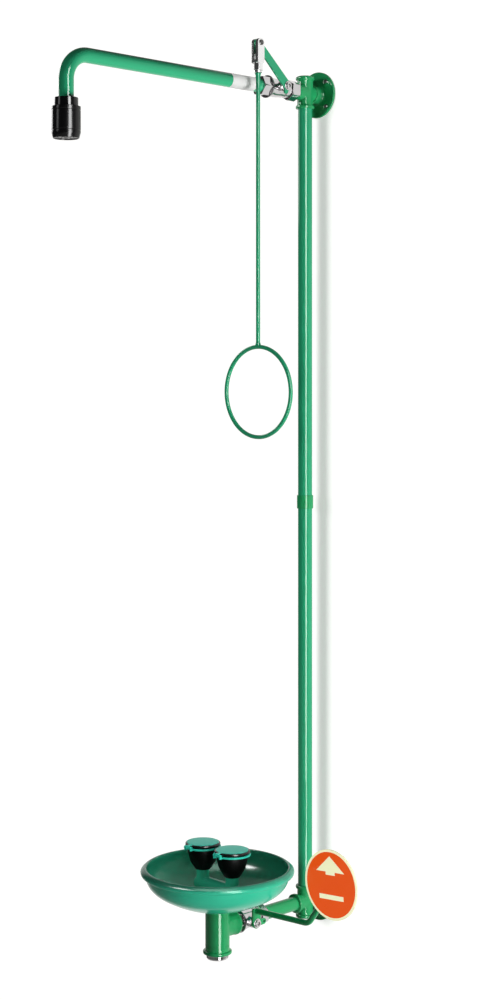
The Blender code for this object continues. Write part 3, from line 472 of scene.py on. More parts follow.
def riser():
    """Two lengths of tube, the sleeve that joins them and the plug on top."""
    seat = CROSS_STOP + FIT
    gap = 0.8
    spans = {"upper": (COUPLING_Z + gap, -seat), "lower": (EYE_Z + seat, COUPLING_Z - gap)}
    for level, (low, high) in spans.items():
        tube = [(TUBE_BORE_R, low), (TUBE_R, low), (TUBE_R, high), (TUBE_BORE_R, high)]
        stand_for(f"riser_{level}_tube", turned(tube, UP, ahead(0)), TUBE_COAT)
    socket, stop = TUBE_R + FIT, 0.5
    sleeve = [(socket, -13), (16.1, -13), (16.1, 13), (socket, 13)]
    sleeve += [(socket, stop), (TUBE_BORE_R, stop), (TUBE_BORE_R, -stop), (socket, -stop)]
    stand_for("riser_coupling", soften(turned(sleeve, UP, ahead(0, COUPLING_Z)), 0.35), CAST_COAT)
    rim = CROSS_REACH + FIT
    plug = [(0, seat), (TUBE_R, seat), (TUBE_R, rim), (15.5, rim), (15.5, 31.9), (15, 32.4), (0, 32.4)]
    plug = turned(plug, UP, ahead(0))
    stand_for("top_plug", carved(plug, prism(6, 6, 25, 40, UP, ahead(0))), CAST_COAT)


def hexagon(radius, low, high, axis, at, turn=0.0):
    """Hexagon with its corners turned off at both ends."""
    shape = soften(prism(6, radius, low, high, axis, at), 0.3, 2)
    spin = Matrix.Rotation(math.radians(turn), 3, axis)
    bmesh.ops.rotate(shape, verts=shape.verts, cent=at, matrix=spin)
    tip = radius * 1.02
    face = radius * 0.9
    drop = (tip - face) * 0.6
    lathe = [(0, low - 0.5), (face - 0.6, low - 0.5), (tip, low + drop)]
    lathe += [(tip, high - drop), (face - 0.6, high + 0.5), (0, high + 0.5)]
    return worked("INTERSECT", shape, [turned(lathe, axis, at)])


def valve_body(unit, at, front_face, front_r, is_socket):
    """Ball housing that flares to a ring behind its hexagon and ends in a waist and a rear collar."""
    start = max(17, front_face - 20)
    outer = [(12.6, -30), (16.2, -30), (16.5, -29.4), (15.6, -22.8), (15.2, -22.4), (13.4, -22)]
    flare = [(13.4, -21.4), (15.4, -19.6), (16.7, -17.2), (17.2, -10), (18, -2)]
    outer += flowing([*flare, (18.8, start - 13), (20.4, start - 4)], 5)
    outer += [(21.4, start - 3.4), (21.8, start - 2.8), (21.8, start - 1.6), (21.2, start - 1)]
    outer += [(16.6, start - 0.8), (16.6, start + 4)]
    body = turned([(0, -30), *outer, (0, start + 4)], FRONT, at, 96)
    boss = soften(prism(64, 10.5, 10, 25.5, RIGHT, at), 0.7)
    body = fused(body, hexagon(VALVE_HEX_R, start, front_face, FRONT, at, 24), boss)
    if is_socket:
        body = carved(body, prism(48, front_r + FIT, front_face - 14, front_face + 1, FRONT, at))
    else:
        body = fused(body, prism(64, front_r, front_face - 3, front_face + 15, FRONT, at))
    chamber_r, chamber_end, front_end = 15.9, 16.9, front_face + 16
    chamber = [(0, -31), (WATERWAY_R, -31), (WATERWAY_R, -chamber_end), (chamber_r, -chamber_end)]
    chamber += [(chamber_r, chamber_end), (WATERWAY_R, chamber_end), (WATERWAY_R, front_end), (0, front_end)]
    shoulder = prism(40, 7.3, 12, 19.8, RIGHT, at)
    body = carved(body, turned(chamber, FRONT, at, 64), shoulder, prism(40, STEM_R + FIT, 12, 27, RIGHT, at))
    stand_for(f"{unit}_valve_body", body, VALVE_CHROME)


def valve_end(unit, at, rear_face, rear_r, is_socket):
    """Hexagon insert; its neck shows in the gap behind the housing."""
    end = hexagon(VALVE_HEX_R + 0.4, rear_face, -33.3, FRONT, at)
    end = fused(end, prism(64, 12.6, -35, -30.2, FRONT, at))
    low = rear_face - 17
    if is_socket:
        end = carved(end, prism(48, rear_r + FIT, rear_face - 1, rear_face + 14, FRONT, at))
    else:
        end = fused(end, prism(64, rear_r, low, rear_face + 3, FRONT, at))
    end = carved(end, prism(48, WATERWAY_R, low - 1, -29, FRONT, at))
    stand_for(f"{unit}_valve_end", end, VALVE_CHROME)


def valve_trim(unit, nut, at):
    """Gland nut, stem and handle nut of a ball valve."""
    gland = carved(hexagon(10, 25.8, 30.5, RIGHT, at), prism(40, STEM_R + FIT, 20, 40, RIGHT, at))
    stand_for(f"{unit}_gland_nut", gland, VALVE_CHROME)
    low = LEVER_OUTER + FIT
    tip = low + 5.2
    stem = [(0, 12.3), (4.6, 12.3), (4.6, 16.3), (7, 16.3), (7, 19.5), (STEM_R, 19.5), (STEM_R, LEVER_OUTER)]
    stem += [(3.2, low + 0.2), (3.2, tip - 0.6), (2.6, tip), (0, tip)]
    stand_for(f"{unit}_stem", turned(stem, RIGHT, at, 40), SCREW_STEEL)
    washer = [(3.5, 0), (8.6, 0), (8.8, 0.3), (8.8, 1), (8.4, 1.3)]
    cap = [(6.9, 1.4), (7.2, 2.2), (7, 3.6), (5.6, 4.5), (3.5, 4.5)]
    stand_for(nut, turned([(r, low + h) for r, h in washer + cap], RIGHT, at), VALVE_CHROME)


def lever_end():
    """Middle of the lever's pin, as (ahead, z)."""
    level, rise = math.cos(LEVER_TILT), math.sin(LEVER_TILT)
    return STEM_UPPER + LEVER_LENGTH * level, LEVER_LENGTH * rise


def shower_valve():
    """Upper ball valve and its flat lever, with a short tail that stops it."""
    at = ahead(STEM_UPPER)
    valve_body("shower", at, 45, PIPE_R, True)
    valve_end("shower", at, CROSS_REACH + FIT - STEM_UPPER, TUBE_R, False)
    valve_trim("shower", "shower_lever_nut", at)
    tip = lever_end()
    lever = slab([(STEM_UPPER, 0, 9.5), (*tip, 7.5)], LEVER_INNER, LEVER_OUTER)
    tail = slab([(STEM_UPPER, 0, 6), (STEM_UPPER + 4, -11, 4.5)], LEVER_INNER, LEVER_OUTER)
    lever = fused(soften(lever, 0.6), soften(tail, 0.6))
    pin_hole = prism(40, PIN_R + FIT, 20, 50, RIGHT, ahead(*tip))
    lever = carved(lever, prism(40, STEM_R + FIT, 20, 50, RIGHT, at), pin_hole)
    stand_for("shower_lever", lever, TUBE_COAT)


def pull_gear():
    """Fork on the lever's pin, and the rod with its ring that hangs from it."""
    m, z = lever_end()
    pin = ahead(m, z, LEVER_MID)
    half, foot = 8.6, z - 36.4
    prongs = slab([(m, z, half), (m - 6, foot, 2.6), (m + 6, foot, 2.6)], LEVER_MID - half, LEVER_MID + half)
    neck = hexagon(9.6, -52, -37, UP, pin, 25)
    fork = fused(soften(prongs, 0.9), neck)
    slot = block(pin + Vector((-2.3, -9.6, -32)), pin + Vector((2.3, 9.6, 9.6)))
    rod_hole_r = ROD_R + FIT
    pin_hole = prism(40, PIN_R + FIT, -9.6, 9.6, RIGHT, pin)
    rod_hole = prism(40, rod_hole_r, -53, -34, UP, pin)
    stand_for("clevis_fork", carved(fork, slot, pin_hole, rod_hole), FORK_ZINC)
    bolt = [(0, -11.4), (PIN_R, -11.4), (PIN_R, 8.9), (5.2, 8.9), (5.2, 9.8), (4.8, 10.2), (4.2, 10.2)]
    bolt += [(3.9, 9.2), (2.7, 9.2), (2.4, 10.3), (0, 10.4)]
    stand_for("clevis_pin", turned(bolt, RIGHT, pin, 48), SCREW_STEEL)
    nut = [(rod_hole_r, -56.3), (7.4, -56.3), (7.9, -55.8), (7.9, -52.8), (7.4, -52.3), (rod_hole_r, -52.3)]
    stand_for("fork_lock_nut", turned(nut, UP, pin, 56), FORK_ZINC)
    low = RING_DROP + RING_R
    rod = [(0, low), (ROD_R, low), (ROD_R, -64.3), (6, -57.3), (ROD_R, -57.3), (ROD_R, -35), (0, -35)]
    centre = pin + UP * RING_DROP
    section = [(RING_R + ROD_R * math.cos(a), ROD_R * math.sin(a)) for a in steps_round(28)]
    hoop = turned(section, FRONT, centre, 144)
    weld = flowing([(4.6, RING_R - 1), (5.6, RING_R + 3), (4.9, RING_R + 6), (4.02, RING_R + 9)], 4)
    weld = turned([(0, RING_R - 1), *weld, (0, RING_R + 9)], UP, centre, 40)
    stand_for("pull_rod", fused(hoop, turned(rod, UP, pin, 40), weld), TUBE_COAT)


def steps_round(count):
    """Angles of this many even steps round a circle."""
    return [math.tau * i / count for i in range(count)]


def shower_arm():
    """Bent pipe with a blank label band round it."""
    straight = ARM_REACH - ARM_BEND_R - ARM_START
    legs = [straight, (ARM_BEND_R, math.pi / 2, -UP), ARM_DROP - ARM_BEND_R]
    arm = pipe(PIPE_R, ahead(ARM_START), FRONT, legs, 72)
    stand_for("shower_arm", arm, TUBE_COAT, sharp=60)
    inner, outer = PIPE_R + 0.02, PIPE_R + 0.16
    low, high = LABEL_SPAN
    band = [(inner, low), (outer, low), (outer, high), (inner, high)]
    show("arm_label", turned(band, FRONT, ahead(0), 96), LABEL_FILM, body="frame")


def shower_head():
    """Collar on the arm's end, ribbed shell and pierced spray plate."""
    at = ahead(ARM_REACH)
    socket, seat = PIPE_R + FIT, -ARM_DROP - FIT
    collar = [(socket, -79), (21, -79), (21, -94), (15, -94), (15, -102), (11.2, -102)]
    collar += [(11.2, seat), (socket, seat)]
    stand_for("head_collar", soften(turned(collar, UP, at, 96), 0.9), COLLAR_PLASTIC)
    shell = [(15.3, -94.3), (25.4, -94.3), (25.4, -99.6), (25.0, -100.2), (25.0, -101.0), (25.4, -101.6)]
    shell += [(25.4, -134.2), (25.0, -134.7), (25.0, -135.5), (25.4, -136.0), (25.4, -138.5), (22.6, -149)]
    shell += [(20.8, -149), (20.8, -141), (20, -141), (20, -97.3), (15.3, -97.3)]
    stand_for("head_shell", soften(turned(shell, UP, at, 96), 0.5, 3, 24), HEAD_PLASTIC)
    rose = [(0, -148), (8, -148), (9, -147.2), (19.2, -147.2), (20.5, -148), (20.5, -141.3), (0, -141.3)]
    rose = turned(rose, UP, at, 80)
    holes = [prism(24, 2.2, -150, -140, UP, at + around(UP, a) * 14) for a in steps_round(10)]
    rose = carved(rose, prism(32, 4, -150, -140, UP, at), *holes)
    stand_for("head_spray_plate", rose, HEAD_PLASTIC)


def around(axis, angle):
    """Unit vector at an angle about an axis."""
    return Matrix.Rotation(angle, 3, axis) @ side_of(axis)


def eyewash_valve():
    """Lower ball valve and the pipe that feeds it."""
    at = ahead(STEM_LOWER, EYE_Z)
    valve_body("eyewash", at, 25, TUBE_R, False)
    valve_end("eyewash", at, -49, PIPE_R, True)
    valve_trim("eyewash", "push_lever_nut", at)
    feed = prism(72, PIPE_R, 14.3, 133.7, FRONT, ahead(0, EYE_Z))
    stand_for("eyewash_pipe", feed, CAST_COAT)


def push_gear():
    """Flat hub on the lower stem, the bent rod welded to it and the plate on the rod's end."""
    at = ahead(STEM_LOWER, EYE_Z)
    m, z = STEM_LOWER, EYE_Z
    hub = slab([(m, z, 10), (m - 7, z + 25.5, 3), (m + 7, z + 25.5, 3)], LEVER_INNER, LEVER_OUTER)
    tab = slab([(m, z, 6), (m - 19, z, 5.4)], LEVER_INNER, LEVER_OUTER)
    hub = fused(soften(hub, 0.6), soften(tab, 0.6))
    first = Vector((LEVER_INNER + 1, 0, 23))
    corner = Vector((PUSH_BEND[0], 0, PUSH_BEND[1]))
    centre = Vector((PLATE_AT[0], 0, PLATE_AT[1]))
    along, rise = (corner - first).normalized(), (centre - corner).normalized()
    angle = along.angle(rise)
    trim = PUSH_BEND_R * math.tan(angle / 2)
    towards = Vector((-along.z, 0, along.x))
    past_centre = 30
    legs = [(corner - first).length - trim, (PUSH_BEND_R, angle, towards)]
    legs += [(centre - corner).length + past_centre - trim]
    hub = fused(hub, soften(pipe(PUSH_ROD_R, at + first, along, legs, 48), 1.2))
    tab_hole = prism(32, 2.4, 20, 50, RIGHT, ahead(m - 19, z))
    hub = carved(hub, prism(40, STEM_R + FIT, 20, 50, RIGHT, at), tab_hole)
    stand_for("push_lever", hub, CAST_COAT)
    push_plate(at + centre)


def push_plate(centre):
    """Pale disc with an orange face, and an arrow and a bar in raised ink."""
    disc = [(0, PLATE_BACK), (PLATE_R, PLATE_BACK), (PLATE_R, PLATE_FACE), (0, PLATE_FACE)]
    stand_for("push_plate", soften(turned(disc, FRONT, centre, 128), 0.5), PLATE_CREAM)
    low, high, edge = PLATE_FACE - 0.5, PLATE_FACE + 0.08, PLATE_R - 4.5
    face = [(0, low), (edge, low), (edge, high), (0, high)]
    on_plate("plate_orange_face", turned(face, FRONT, centre, 128), PLATE_ORANGE)
    arrow = [(0, 51), (-34, 23), (-11, 23), (-11, 17.5), (11, 17.5), (11, 23), (34, 23)]
    bar = [(-29, -17.8), (-29, -26.2), (29, -26.2), (29, -17.8)]
    for name, outline in (("plate_arrow", arrow), ("plate_bar", bar)):
        on_plate(name, printed(outline, centre), PLATE_CREAM)


def printed(outline, centre):
    """Flat shape of (right, up) points on the plate, which hangs a little turned."""
    roll = Matrix.Rotation(PLATE_ROLL, 3, "Y")
    shape = bmesh.new()
    spots = [centre + roll @ Vector((x, -PLATE_FACE + 0.3, z)) for x, z in outline]
    ground = shape.faces.new([shape.verts.new(spot) for spot in spots])
    grown = bmesh.ops.extrude_face_region(shape, geom=[ground])
    moved = [g for g in grown["geom"] if isinstance(g, bmesh.types.BMVert)]
    bmesh.ops.translate(shape, verts=moved, vec=FRONT * 0.5)
    bmesh.ops.recalc_face_normals(shape, faces=shape.faces)
    return shape


def on_plate(name, shape, finish):
    """Piece that rides on the plate and stands for no node."""
    show(name, shape, finish, body="push_lever")


def drain():
    """Upright drain body with the branch that takes the supply, and its threaded outlet."""
    at = ahead(BOWL_AHEAD, EYE_Z)
    outer = [(0, -47), (26.2, -47), (27.1, -46.2), (27.1, -42.6), (26.2, -41.6)]
    outer += [(23.1, -41), (22.8, -40), (22.8, 36), (0, 36)]
    branch = [(0, 0), (21.2, 0), (21.2, 39.4), (22.3, 40.4), (22.3, 43.9), (21.5, 44.7), (0, 44.7)]
    body = fused(turned(outer, UP, at, 96), turned(branch, -FRONT, at, 96))
    groove = [(22.3, 0), (24, 0), (24, 0.8), (22.3, 0.8)]
    grooves = [turned([(r, z + h) for r, h in groove], UP, at, 96) for z in (-33.5, -30.5, 21)]
    body = carved(body, prism(64, 21.3, -50, -28, UP, at), prism(64, 18.5, -30, 40, UP, at), *grooves)
    body = carved(body, prism(64, TUBE_R + FIT, -46, -15, FRONT, at))
    stand_for("drain_body", body, CAST_COAT, sharp=50)
    thread = [(18, -28.3), (21, -28.3), (21, -47.6), (20.3, -48.4)]
    for turn in range(3):
        crest = -49.6 - 2.2 * turn
        thread += [(20.95, crest + 0.35), (20.95, crest - 0.35), (20.3, crest - 1.1)]
    thread += [(20.2, -55.9), (19.6, -56.5), (18, -56.5)]
    stand_for("drain_outlet", turned(thread, UP, at, 96), VALVE_CHROME)


def bowl():
    """Moulded bowl of even wall with a rolled lip."""
    at = ahead(BOWL_AHEAD, EYE_Z)
    foot, thick = 38.6, 3
    outside = [(42, 1.2), (62, 5.4), (82, 12.8), (100, 21.2), (115, 29.8), (126, 39.8), (132, 50), (135, 61)]
    wall = flowing([(r, foot + h) for r, h in outside])
    lip = [(139.2, 100.6), (141.6, 101.6), (142.9, 103.1), (143.5, 106), (142.8, 108.6), (141, 110.6)]
    lip += [(138.4, 112.6), (136.2, 113.7), (134.4, 114), (132.7, 113.2), (132, 111.4)]
    inside = [(r - thick * s, foot + h + thick * c) for (r, h), (s, c) in zip(outside, slopes(outside))]
    inner = flowing([(131.9, 109), *inside[::-1]])
    outline = [(19, foot), *wall, (135.6, 100.3), *flowing(lip, 4), *inner, (19, foot + thick)]
    stand_for("bowl", turned(outline, UP, at, 160), BOWL_PLASTIC, sharp=50)


def slopes(points):
    """Outward normal of a line of (radius, height) at each of its points."""
    spots = [Vector(p) for p in points]
    result = []
    for i in range(len(spots)):
        along = (spots[min(i + 1, len(spots) - 1)] - spots[max(i - 1, 0)]).normalized()
        result.append((along.y, along.x))
    return result


def bowl_fixing():
    """Pierced strainer whose sleeve holds the bowl down on the drain body."""
    at = ahead(BOWL_AHEAD, EYE_Z)
    under, top = 41.9, 44.9
    ring = [(10.3, under), (15.7, under), (15.7, 24), (18.2, 24), (18.2, under), (30, under)]
    ring += [(30, 43.6), (28.5, top), (10.3, top)]
    holes = [prism(20, 1.9, 40, 46, UP, at + around(UP, a + math.pi / 8) * 12.85) for a in steps_round(8)]
    stand_for("bowl_strainer", carved(turned(ring, UP, at, 80), *holes), STEEL)


def manifold():
    """Cross bar on the supply, with a neck and a jet for each cup."""
    at = ahead(BOWL_AHEAD, EYE_Z)
    middle, top = 76, 108
    end = CUP_HALF_SPACING + 14.3
    bar = [(0, -end), (10, -end), (13, 3 - end), (13, end - 3), (10, end), (0, end)]
    bar = turned(bar, RIGHT, at + UP * middle)
    spots = [at - RIGHT * CUP_HALF_SPACING, at + RIGHT * CUP_HALF_SPACING]
    neck = [(0, middle), (12.3, middle), (12.3, top), (0, top)]
    body = fused(bar, prism(72, 14, 56, middle, UP, at), *[turned(neck, UP, spot) for spot in spots])
    jets = [prism(32, 2.5, top - 4, top + 1, UP, spot) for spot in spots]
    stand_for("nozzle_manifold", carved(body, prism(48, 10.3, 50, 74, UP, at), *jets), BOWL_PLASTIC)


def eye_cup(side, sign):
    """Rubber cup with its hinge ring, and the lid and seal over it."""
    at = ahead(BOWL_AHEAD, EYE_Z, sign * CUP_HALF_SPACING)
    foot, rim = 103, 147.2
    outer = [(14.4, foot), (16.2, 105.4), (20.2, 111.2), (24.5, 119), (27.6, 130), (29.1, 139), (29.3, rim)]
    inner = [(26.8, rim), (26.6, 139.5), (25.1, 131), (22, 120.5), (17.8, 112.8), (15.3, 110.5)]
    cup = [*flowing(outer), *flowing(inner), (12.6, 110.5), (12.6, foot)]
    stand_for(f"{side}_cup", turned(cup, UP, at, 80), CUP_RUBBER)
    pivot = at + FRONT * HINGE_AHEAD + UP * HINGE_Z
    band = soften(turned([(29.6, 142.9), (34.2, 142.9), (34.2, 146.3), (29.6, 146.3)], UP, at, 96), 1.1)
    for end in (-1, 1):
        low, high = sorted((end * 6.2, end * 9.2))
        knuckle = soften(prism(32, 2.9, low, high, RIGHT, pivot), 0.5)
        web = block(pivot + Vector((low + 0.2, -2.4, -5.6)), pivot + Vector((high - 0.2, 5.8, -2.2)))
        band = fused(band, knuckle, soften(web, 0.6))
    band = carved(band, prism(24, 1.8, -12, 12, RIGHT, pivot))
    # The ring takes the lids' lighter green, which is painted light.
    stand_for(f"{side}_cup_ring", band, LID_PLASTIC_PAINTED_LIGHT)
    seal = flowing([(31.2, 147.5), (32.6, 148.3), (33.1, 149.9), (32.7, 151.6), (31.4, 152.6)], 4)
    seal = [(23.5, 147.5), *seal, (30.2, 152.6), (29.8, 151.9), (23.5, 151.9)]
    stand_for(f"{side}_lid_gasket", turned(seal, UP, at, 96), SEAL_RUBBER)
    dome = flowing([(30, 152.9), (29.2, 153.3), (20, 153.75), (9, 153.95), (0, 154)], 5)
    lid = turned([(0, 152.1), (29.4, 152.1), (30, 152.5), *dome], UP, at, 96)
    tongue = block(pivot + Vector((-3.6, 0, 3.5)), pivot + Vector((3.6, 11.5, 4.4)))
    root = block(pivot + Vector((-3.6, -2.5, 0)), pivot + Vector((3.6, 2.5, 4.4)))
    barrel = prism(32, 2.6, -3.6, 3.6, RIGHT, pivot)
    lid = fused(lid, tongue, soften(root, 0.6), barrel, prism(24, 1.5, -9.2, 9.2, RIGHT, pivot))
    # The lid takes the lighter green, which is painted light.
    stand_for(f"{side}_lid", lid, LID_PLASTIC_PAINTED_LIGHT)


# Enclosed nodes, which keep their CAD mesh and only take a finish.
KEPT = {
    "shower_ball": STEEL,
    "eyewash_ball": STEEL,
    "shower_seat_front": SEAT_PLASTIC,
    "shower_seat_rear": SEAT_PLASTIC,
    "eyewash_seat_front": SEAT_PLASTIC,
    "eyewash_seat_rear": SEAT_PLASTIC,
    "head_flow_disc": HEAD_PLASTIC,
    "supply_tube": STEEL,
    "bowl_gasket": CUP_RUBBER,
}

# Nodes whose pieces share lamps, and the pieces printed on the plate.
STANDING = ("riser_upper_tube", "riser_coupling", "riser_lower_tube", "upper_cross", "lower_cross")
STANDING += ("upper_wall_flange", "lower_wall_flange")
HEAD = ("head_collar", "head_shell", "head_spray_plate")
LIDS = ("left_lid", "right_lid", "left_cup_ring", "right_cup_ring")
CROSSES = ("upper_cross", "lower_cross")
PLATING = ("clevis_fork", "fork_lock_nut", "drain_outlet", "push_lever_nut", "shower_lever_nut")
PLATING += ("shower_valve_body", "shower_valve_end", "shower_gland_nut")
PLATING += ("eyewash_valve_body", "eyewash_valve_end", "eyewash_gland_nut")
UNDER = ("drain_body", "push_lever", "eyewash_pipe", "lower_cross")
PRINT = ("plate_orange_face", "plate_arrow", "plate_bar")

# The stage, in metres.
FLOOR_Z = -2.35
WALL_Y = 0.0006
ROOM_GREY = (0.05, 0.05, 0.05, 1)
# The painted shade that the wall fades to at its sides and top, and the wall's white.
WALL_SHADE = (0.25, 0.25, 0.25, 1)
WALL_WHITE = (0.6, 0.6, 0.59, 1)
WALL_GLOW = {"Color": (1, 0.99, 0.975, 1), "Strength": 0.53}
WASH_SPREAD = math.radians(28)
MIDDLE = (0, -0.3, -0.75)
BOWL_MIDDLE = (0, -0.28, -1.52)
CAMERA_AT = (2.3127, -2.5066, -0.5704)
CAMERA_TURN = (math.radians(90), 0, math.radians(45.18))
CAMERA_LENS = {"sensor_width": 36, "lens": 61.97, "shift_y": -0.1163}

# Softboxes: name, place, aim, size, radiance, the set of pieces that it lights, and how.
SOFTBOXES = (
    ("right_softbox", (1.35, -0.80, -0.75), MIDDLE, (0.55, 2.8), 25, "all_but_plating", "shine"),
    ("plating_softbox", (1.35, -0.80, -0.75), MIDDLE, (0.55, 2.8), 8, "plating", "shine"),
    ("left_softbox", (-1.7, -0.5, 0.25), (0, -0.25, -1.2), (0.8, 0.8), 5, "all_but_bowl", "shine"),
    ("bowl_softbox", (-0.75, -2.1, 0.75), (0, -0.15, -1.5), (1.1, 0.8), 65, "bowl", "shine"),
    ("cross_softbox", (-1.9, -3.0, 0.8), (0, -0.04, 0), (0.9, 1.4), 60, "crosses", "shine"),
    ("lid_fill", (0.6, -1.5, 0.3), (0, -0.28, -1.44), (0.8, 0.8), 6, "lids", "fill"),
    ("key", (-1.0, -5.0, 0.35), MIDDLE, (1.2, 1.2), 20, "upright", "fill"),
    ("arm_key", (-1.0, -5.0, 0.0), (0, -0.3, 0), (1.2, 1.2), 9, "arm", "fill"),
    ("arm_fill", (1.65, -0.06, -1.99), (0, -0.35, 0), (1, 1), 22, "arm", "fill"),
    ("front_fill", (0.9, -2.5, -1.0), (0, -0.3, -0.8), (1.4, 2.0), 0.3, "all_but_bowl", "fill"),
    ("right_fill", (2.46, 0.5, -0.98), MIDDLE, (1.2, 1.6), 10, "all_but_bowl_and_arm", "fill"),
    ("right_low_fill", (3.4, -0.1, -2.1), MIDDLE, (1.6, 0.45), 22, "all_but_bowl", "fill"),
    ("left_fill", (-1.4, 1.2, -0.8), (0, -0.2, -0.8), (1.6, 2.2), 0.6, "all", "fill"),
    ("low_fill", (0.45, -0.75, -2.25), (0, -0.28, -1.5), (1.0, 1.0), 0.3, "all", "fill"),
    ("top_fill", (-0.2, -0.9, 1.6), (0, -0.3, -1), (1.6, 1.6), 0.15, "all", "fill"),
    ("head_softbox", (-0.6, -2.4, 0.2), (0, -0.64, -0.1), (0.5, 1.0), 3, "head", "shine"),
    ("plate_fill", (0.6, -2.2, -1.0), (0.23, -0.2, -1.47), (1, 1), 8, "plate", "fill"),
    ("bowl_fill", (2.25, -1.6, -1.75), BOWL_MIDDLE, (1, 1), 9.5, "bowl", "fill"),
    ("bowl_rear_fill", (0.6, 2.0, -0.6), (0, -0.28, -1.5), (1, 1), 10, "bowl", "fill"),
    ("bowl_rim_softbox", (0.4, -0.7, 0.3), (0, -0.28, -1.47), (1.2, 1.2), 8, "bowl", "shine"),
    ("bowl_top_fill", (0.9, -1.9, 0.2), BOWL_MIDDLE, (1, 1), 1.5, "bowl", "fill"),
    ("bowl_right_fill", (2.17, -0.11, -2.1), BOWL_MIDDLE, (1.2, 0.4), 39, "bowl", "fill"),
    ("bowl_left_fill", (-2.1, 0.07, -2.1), BOWL_MIDDLE, (1.2, 0.4), 15, "bowl", "fill"),
)


def softbox(name, at, towards, size, radiance, lights, does):
    """Rectangle of even radiance, for "fill" alone or for "shine" alone in what is glossy."""
    light = bpy.data.lights.new(name, "AREA")
    light.shape = "RECTANGLE"
    light.size, light.size_y = size
    light.energy = radiance * math.pi * size[0] * size[1]
    hung(light, at, towards, lights, does)


def wash(name, at, towards, strength, lights):
    """Even light from far off for one stage sheet alone."""
    light = bpy.data.lights.new(name, "SUN")
    light.energy = strength * math.pi
    light.angle = WASH_SPREAD
    return hung(light, at, towards, lights, "fill")


def hung(light, at, towards, lights, does):
    """Lamp that is aimed at a point and lights one set of pieces, unseen by the camera."""
    made = bpy.data.objects.new(light.name, light)
    made.location = at
    made.rotation_euler = (Vector(towards) - Vector(at)).to_track_quat("-Z", "Y").to_euler()
    made.visible_camera = False
    made.visible_glossy = does == "shine"
    made.visible_diffuse = does == "fill"
    made.light_linking.receiver_collection = lights
    bpy.context.scene.collection.objects.link(made)
    return made


def gathered(name, pieces, state="INCLUDE"):
    """Set of pieces for a lamp to light or to leave out."""
    made = bpy.data.collections.new(name)
    for number, piece in enumerate(pieces):
        made.objects.link(piece)
        made.collection_objects[number].light_linking.link_state = state
    return made


def finished(*nodes):
    """The pieces that stand for these nodes."""
    return [bpy.data.objects[f"{node}_finished"] for node in nodes]


def stage_sheet(name, corners, finish):
    """One flat face that belongs to the stage and not to the object."""
    shape = bmesh.new()
    shape.faces.new([shape.verts.new(corner) for corner in corners])
    mesh = bpy.data.meshes.new(name)
    shape.to_mesh(mesh)
    shape.free()
    mesh.materials.append(finish)
    made = bpy.data.objects.new(name, mesh)
    bpy.context.scene.collection.objects.link(made)
    return made


def wall_paint():
    """White wall for what looks at it from the room, fading to painted shade at its sides and top; from
    behind it isn't there.
    """
    paint = Finish("wall_paint")
    tree = paint.tree
    tree.nodes.remove(paint.shader)
    rays = ("Is Camera Ray", "Is Glossy Ray", "Is Transmission Ray")
    direct, glossy, through = [paint.node("ShaderNodeLightPath", {}, {}, ray) for ray in rays]
    seen = direct + glossy + through
    place = paint.node("ShaderNodeTexCoord", {}, {}, "Object")
    across = paint.node("ShaderNodeSeparateXYZ", {}, {"Vector": place}, "X")
    height = paint.node("ShaderNodeSeparateXYZ", {}, {"Vector": place}, "Z")
    slope = height + 0.16 * across
    lit = 1
    # Paint and glow fall off to painted shade beyond the wall's lit middle.
    for reach, full, none in ((across, 0.5, 1.1), (across, -1.2, -2.0), (slope, 0.22, 0.44)):
        ends = {"Value": reach, "From Min": none, "From Max": full}
        lit = paint.node("ShaderNodeMapRange", {"interpolation_type": "SMOOTHSTEP"}, ends) * lit
    colour = paint.blend(lit, WALL_SHADE, WALL_WHITE)
    matt = paint.node("ShaderNodeBsdfDiffuse", {}, {"Color": colour})
    strength = WALL_GLOW["Strength"] * lit * seen
    glow = paint.node("ShaderNodeEmission", {}, {"Color": WALL_GLOW["Color"], "Strength": strength})
    whole = paint.node("ShaderNodeAddShader", {}, {0: matt, 1: glow})
    back = paint.node("ShaderNodeNewGeometry", {}, {}, "Backfacing")
    clear = paint.node("ShaderNodeBsdfTransparent", {}, {})
    both = paint.node("ShaderNodeMixShader", {}, {0: back, 1: whole, 2: clear})
    paint.feed(tree.nodes["Material Output"].inputs["Surface"], both)
    return paint.material


def backdrop():
    """Dark grey room with a white floor and a white wall that fades to painted shade at its edges; diffuse
    rays see neither sheet.
    """
    world = bpy.data.worlds.new("studio")
    world.use_nodes = True
    world.node_tree.nodes["Background"].inputs["Color"].default_value = ROOM_GREY
    bpy.context.scene.world = world
    floor_paint = Finish("floor_paint", Roughness=0.8)
    floor_paint.tint((0.72, 0.72, 0.71), (0.76, 0.76, 0.75), 400)
    flat = [(-5, -7, FLOOR_Z), (5, -7, FLOOR_Z), (5, 4, FLOOR_Z), (-5, 4, FLOOR_Z)]
    floor = stage_sheet("floor", flat, floor_paint.material)
    upright = [(-4, WALL_Y, FLOOR_Z), (5, WALL_Y, FLOOR_Z), (5, WALL_Y, 2), (-4, WALL_Y, 2)]
    wall = stage_sheet("wall", upright, wall_paint())
    wall.visible_diffuse = False
    wall.visible_shadow = False
    floor.visible_diffuse = False
    return wall, floor


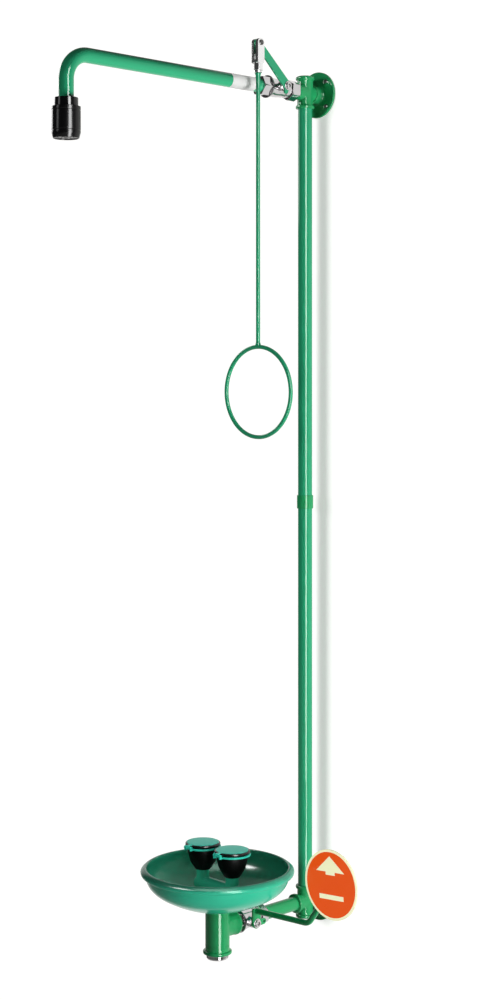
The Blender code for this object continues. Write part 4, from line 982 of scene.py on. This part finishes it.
def light_sets(*sheets):
    """Sets by name: some leave the sheets and a few pieces out, and others hold a few pieces alone."""
    bowl_piece, arm, plating = finished("bowl"), finished("shower_arm"), finished(*PLATING)
    left_out = {
        "all": [],
        "all_but_plating": plating,
        "all_but_bowl": bowl_piece,
        "all_but_bowl_and_arm": bowl_piece + arm,
        "upright": bowl_piece + finished(*UNDER) + arm,
    }
    alone = {
        "plating": plating,
        "crosses": finished(*CROSSES),
        "lids": finished(*LIDS),
        "head": finished(*HEAD),
        "plate": finished("push_plate") + [bpy.data.objects[name] for name in PRINT],
        "bowl": bowl_piece,
        "arm": arm,
    }
    sets = {name: gathered(name, [*sheets, *pieces], "EXCLUDE") for name, pieces in left_out.items()}
    return sets | {name: gathered(name, pieces) for name, pieces in alone.items()}


def studio():
    """Backdrop and lamps. The photo's parts aren't lit alike, so most lamps light a few pieces alone."""
    wall, floor = backdrop()
    sets = light_sets(wall, floor)
    for name, at, towards, size, radiance, lights, does in SOFTBOXES:
        softbox(name, at, towards, size, radiance, sets[lights], does)
    wash("floor_wash", (0.5, -2, 3), (0, -1, -2), 0.5, gathered("floor_only", [floor]))
    wall_wash = wash("wall_wash", (-0.9, -2.6, 0.1), (0, 0, -0.6), 0.9, gathered("wall_only", [wall]))
    wall_wash.light_linking.blocker_collection = gathered("riser_shadow", finished(*STANDING))


def camera():
    """Level camera on the right, with its picture shifted down rather than tilted."""
    lens = bpy.data.cameras.new("camera")
    for setting, value in CAMERA_LENS.items():
        setattr(lens, setting, value)
    made = bpy.data.objects.new("camera", lens)
    made.location = CAMERA_AT
    made.rotation_euler = CAMERA_TURN
    bpy.context.scene.collection.objects.link(made)
    bpy.context.scene.camera = made
    bpy.context.scene.view_settings.view_transform = "Standard"


wall_flange("upper", 0)
wall_flange("lower", EYE_Z)
press_cross("upper", 0, False)
press_cross("lower", EYE_Z, True)
riser()
shower_valve()
pull_gear()
shower_arm()
shower_head()
eyewash_valve()
push_gear()
drain()
bowl()
bowl_fixing()
manifold()
eye_cup("left", -1)
eye_cup("right", 1)
for node, finish in KEPT.items():
    frame["nodes"][node].data.materials.clear()
    frame["nodes"][node].data.materials.append(finish.material)
studio()
camera()
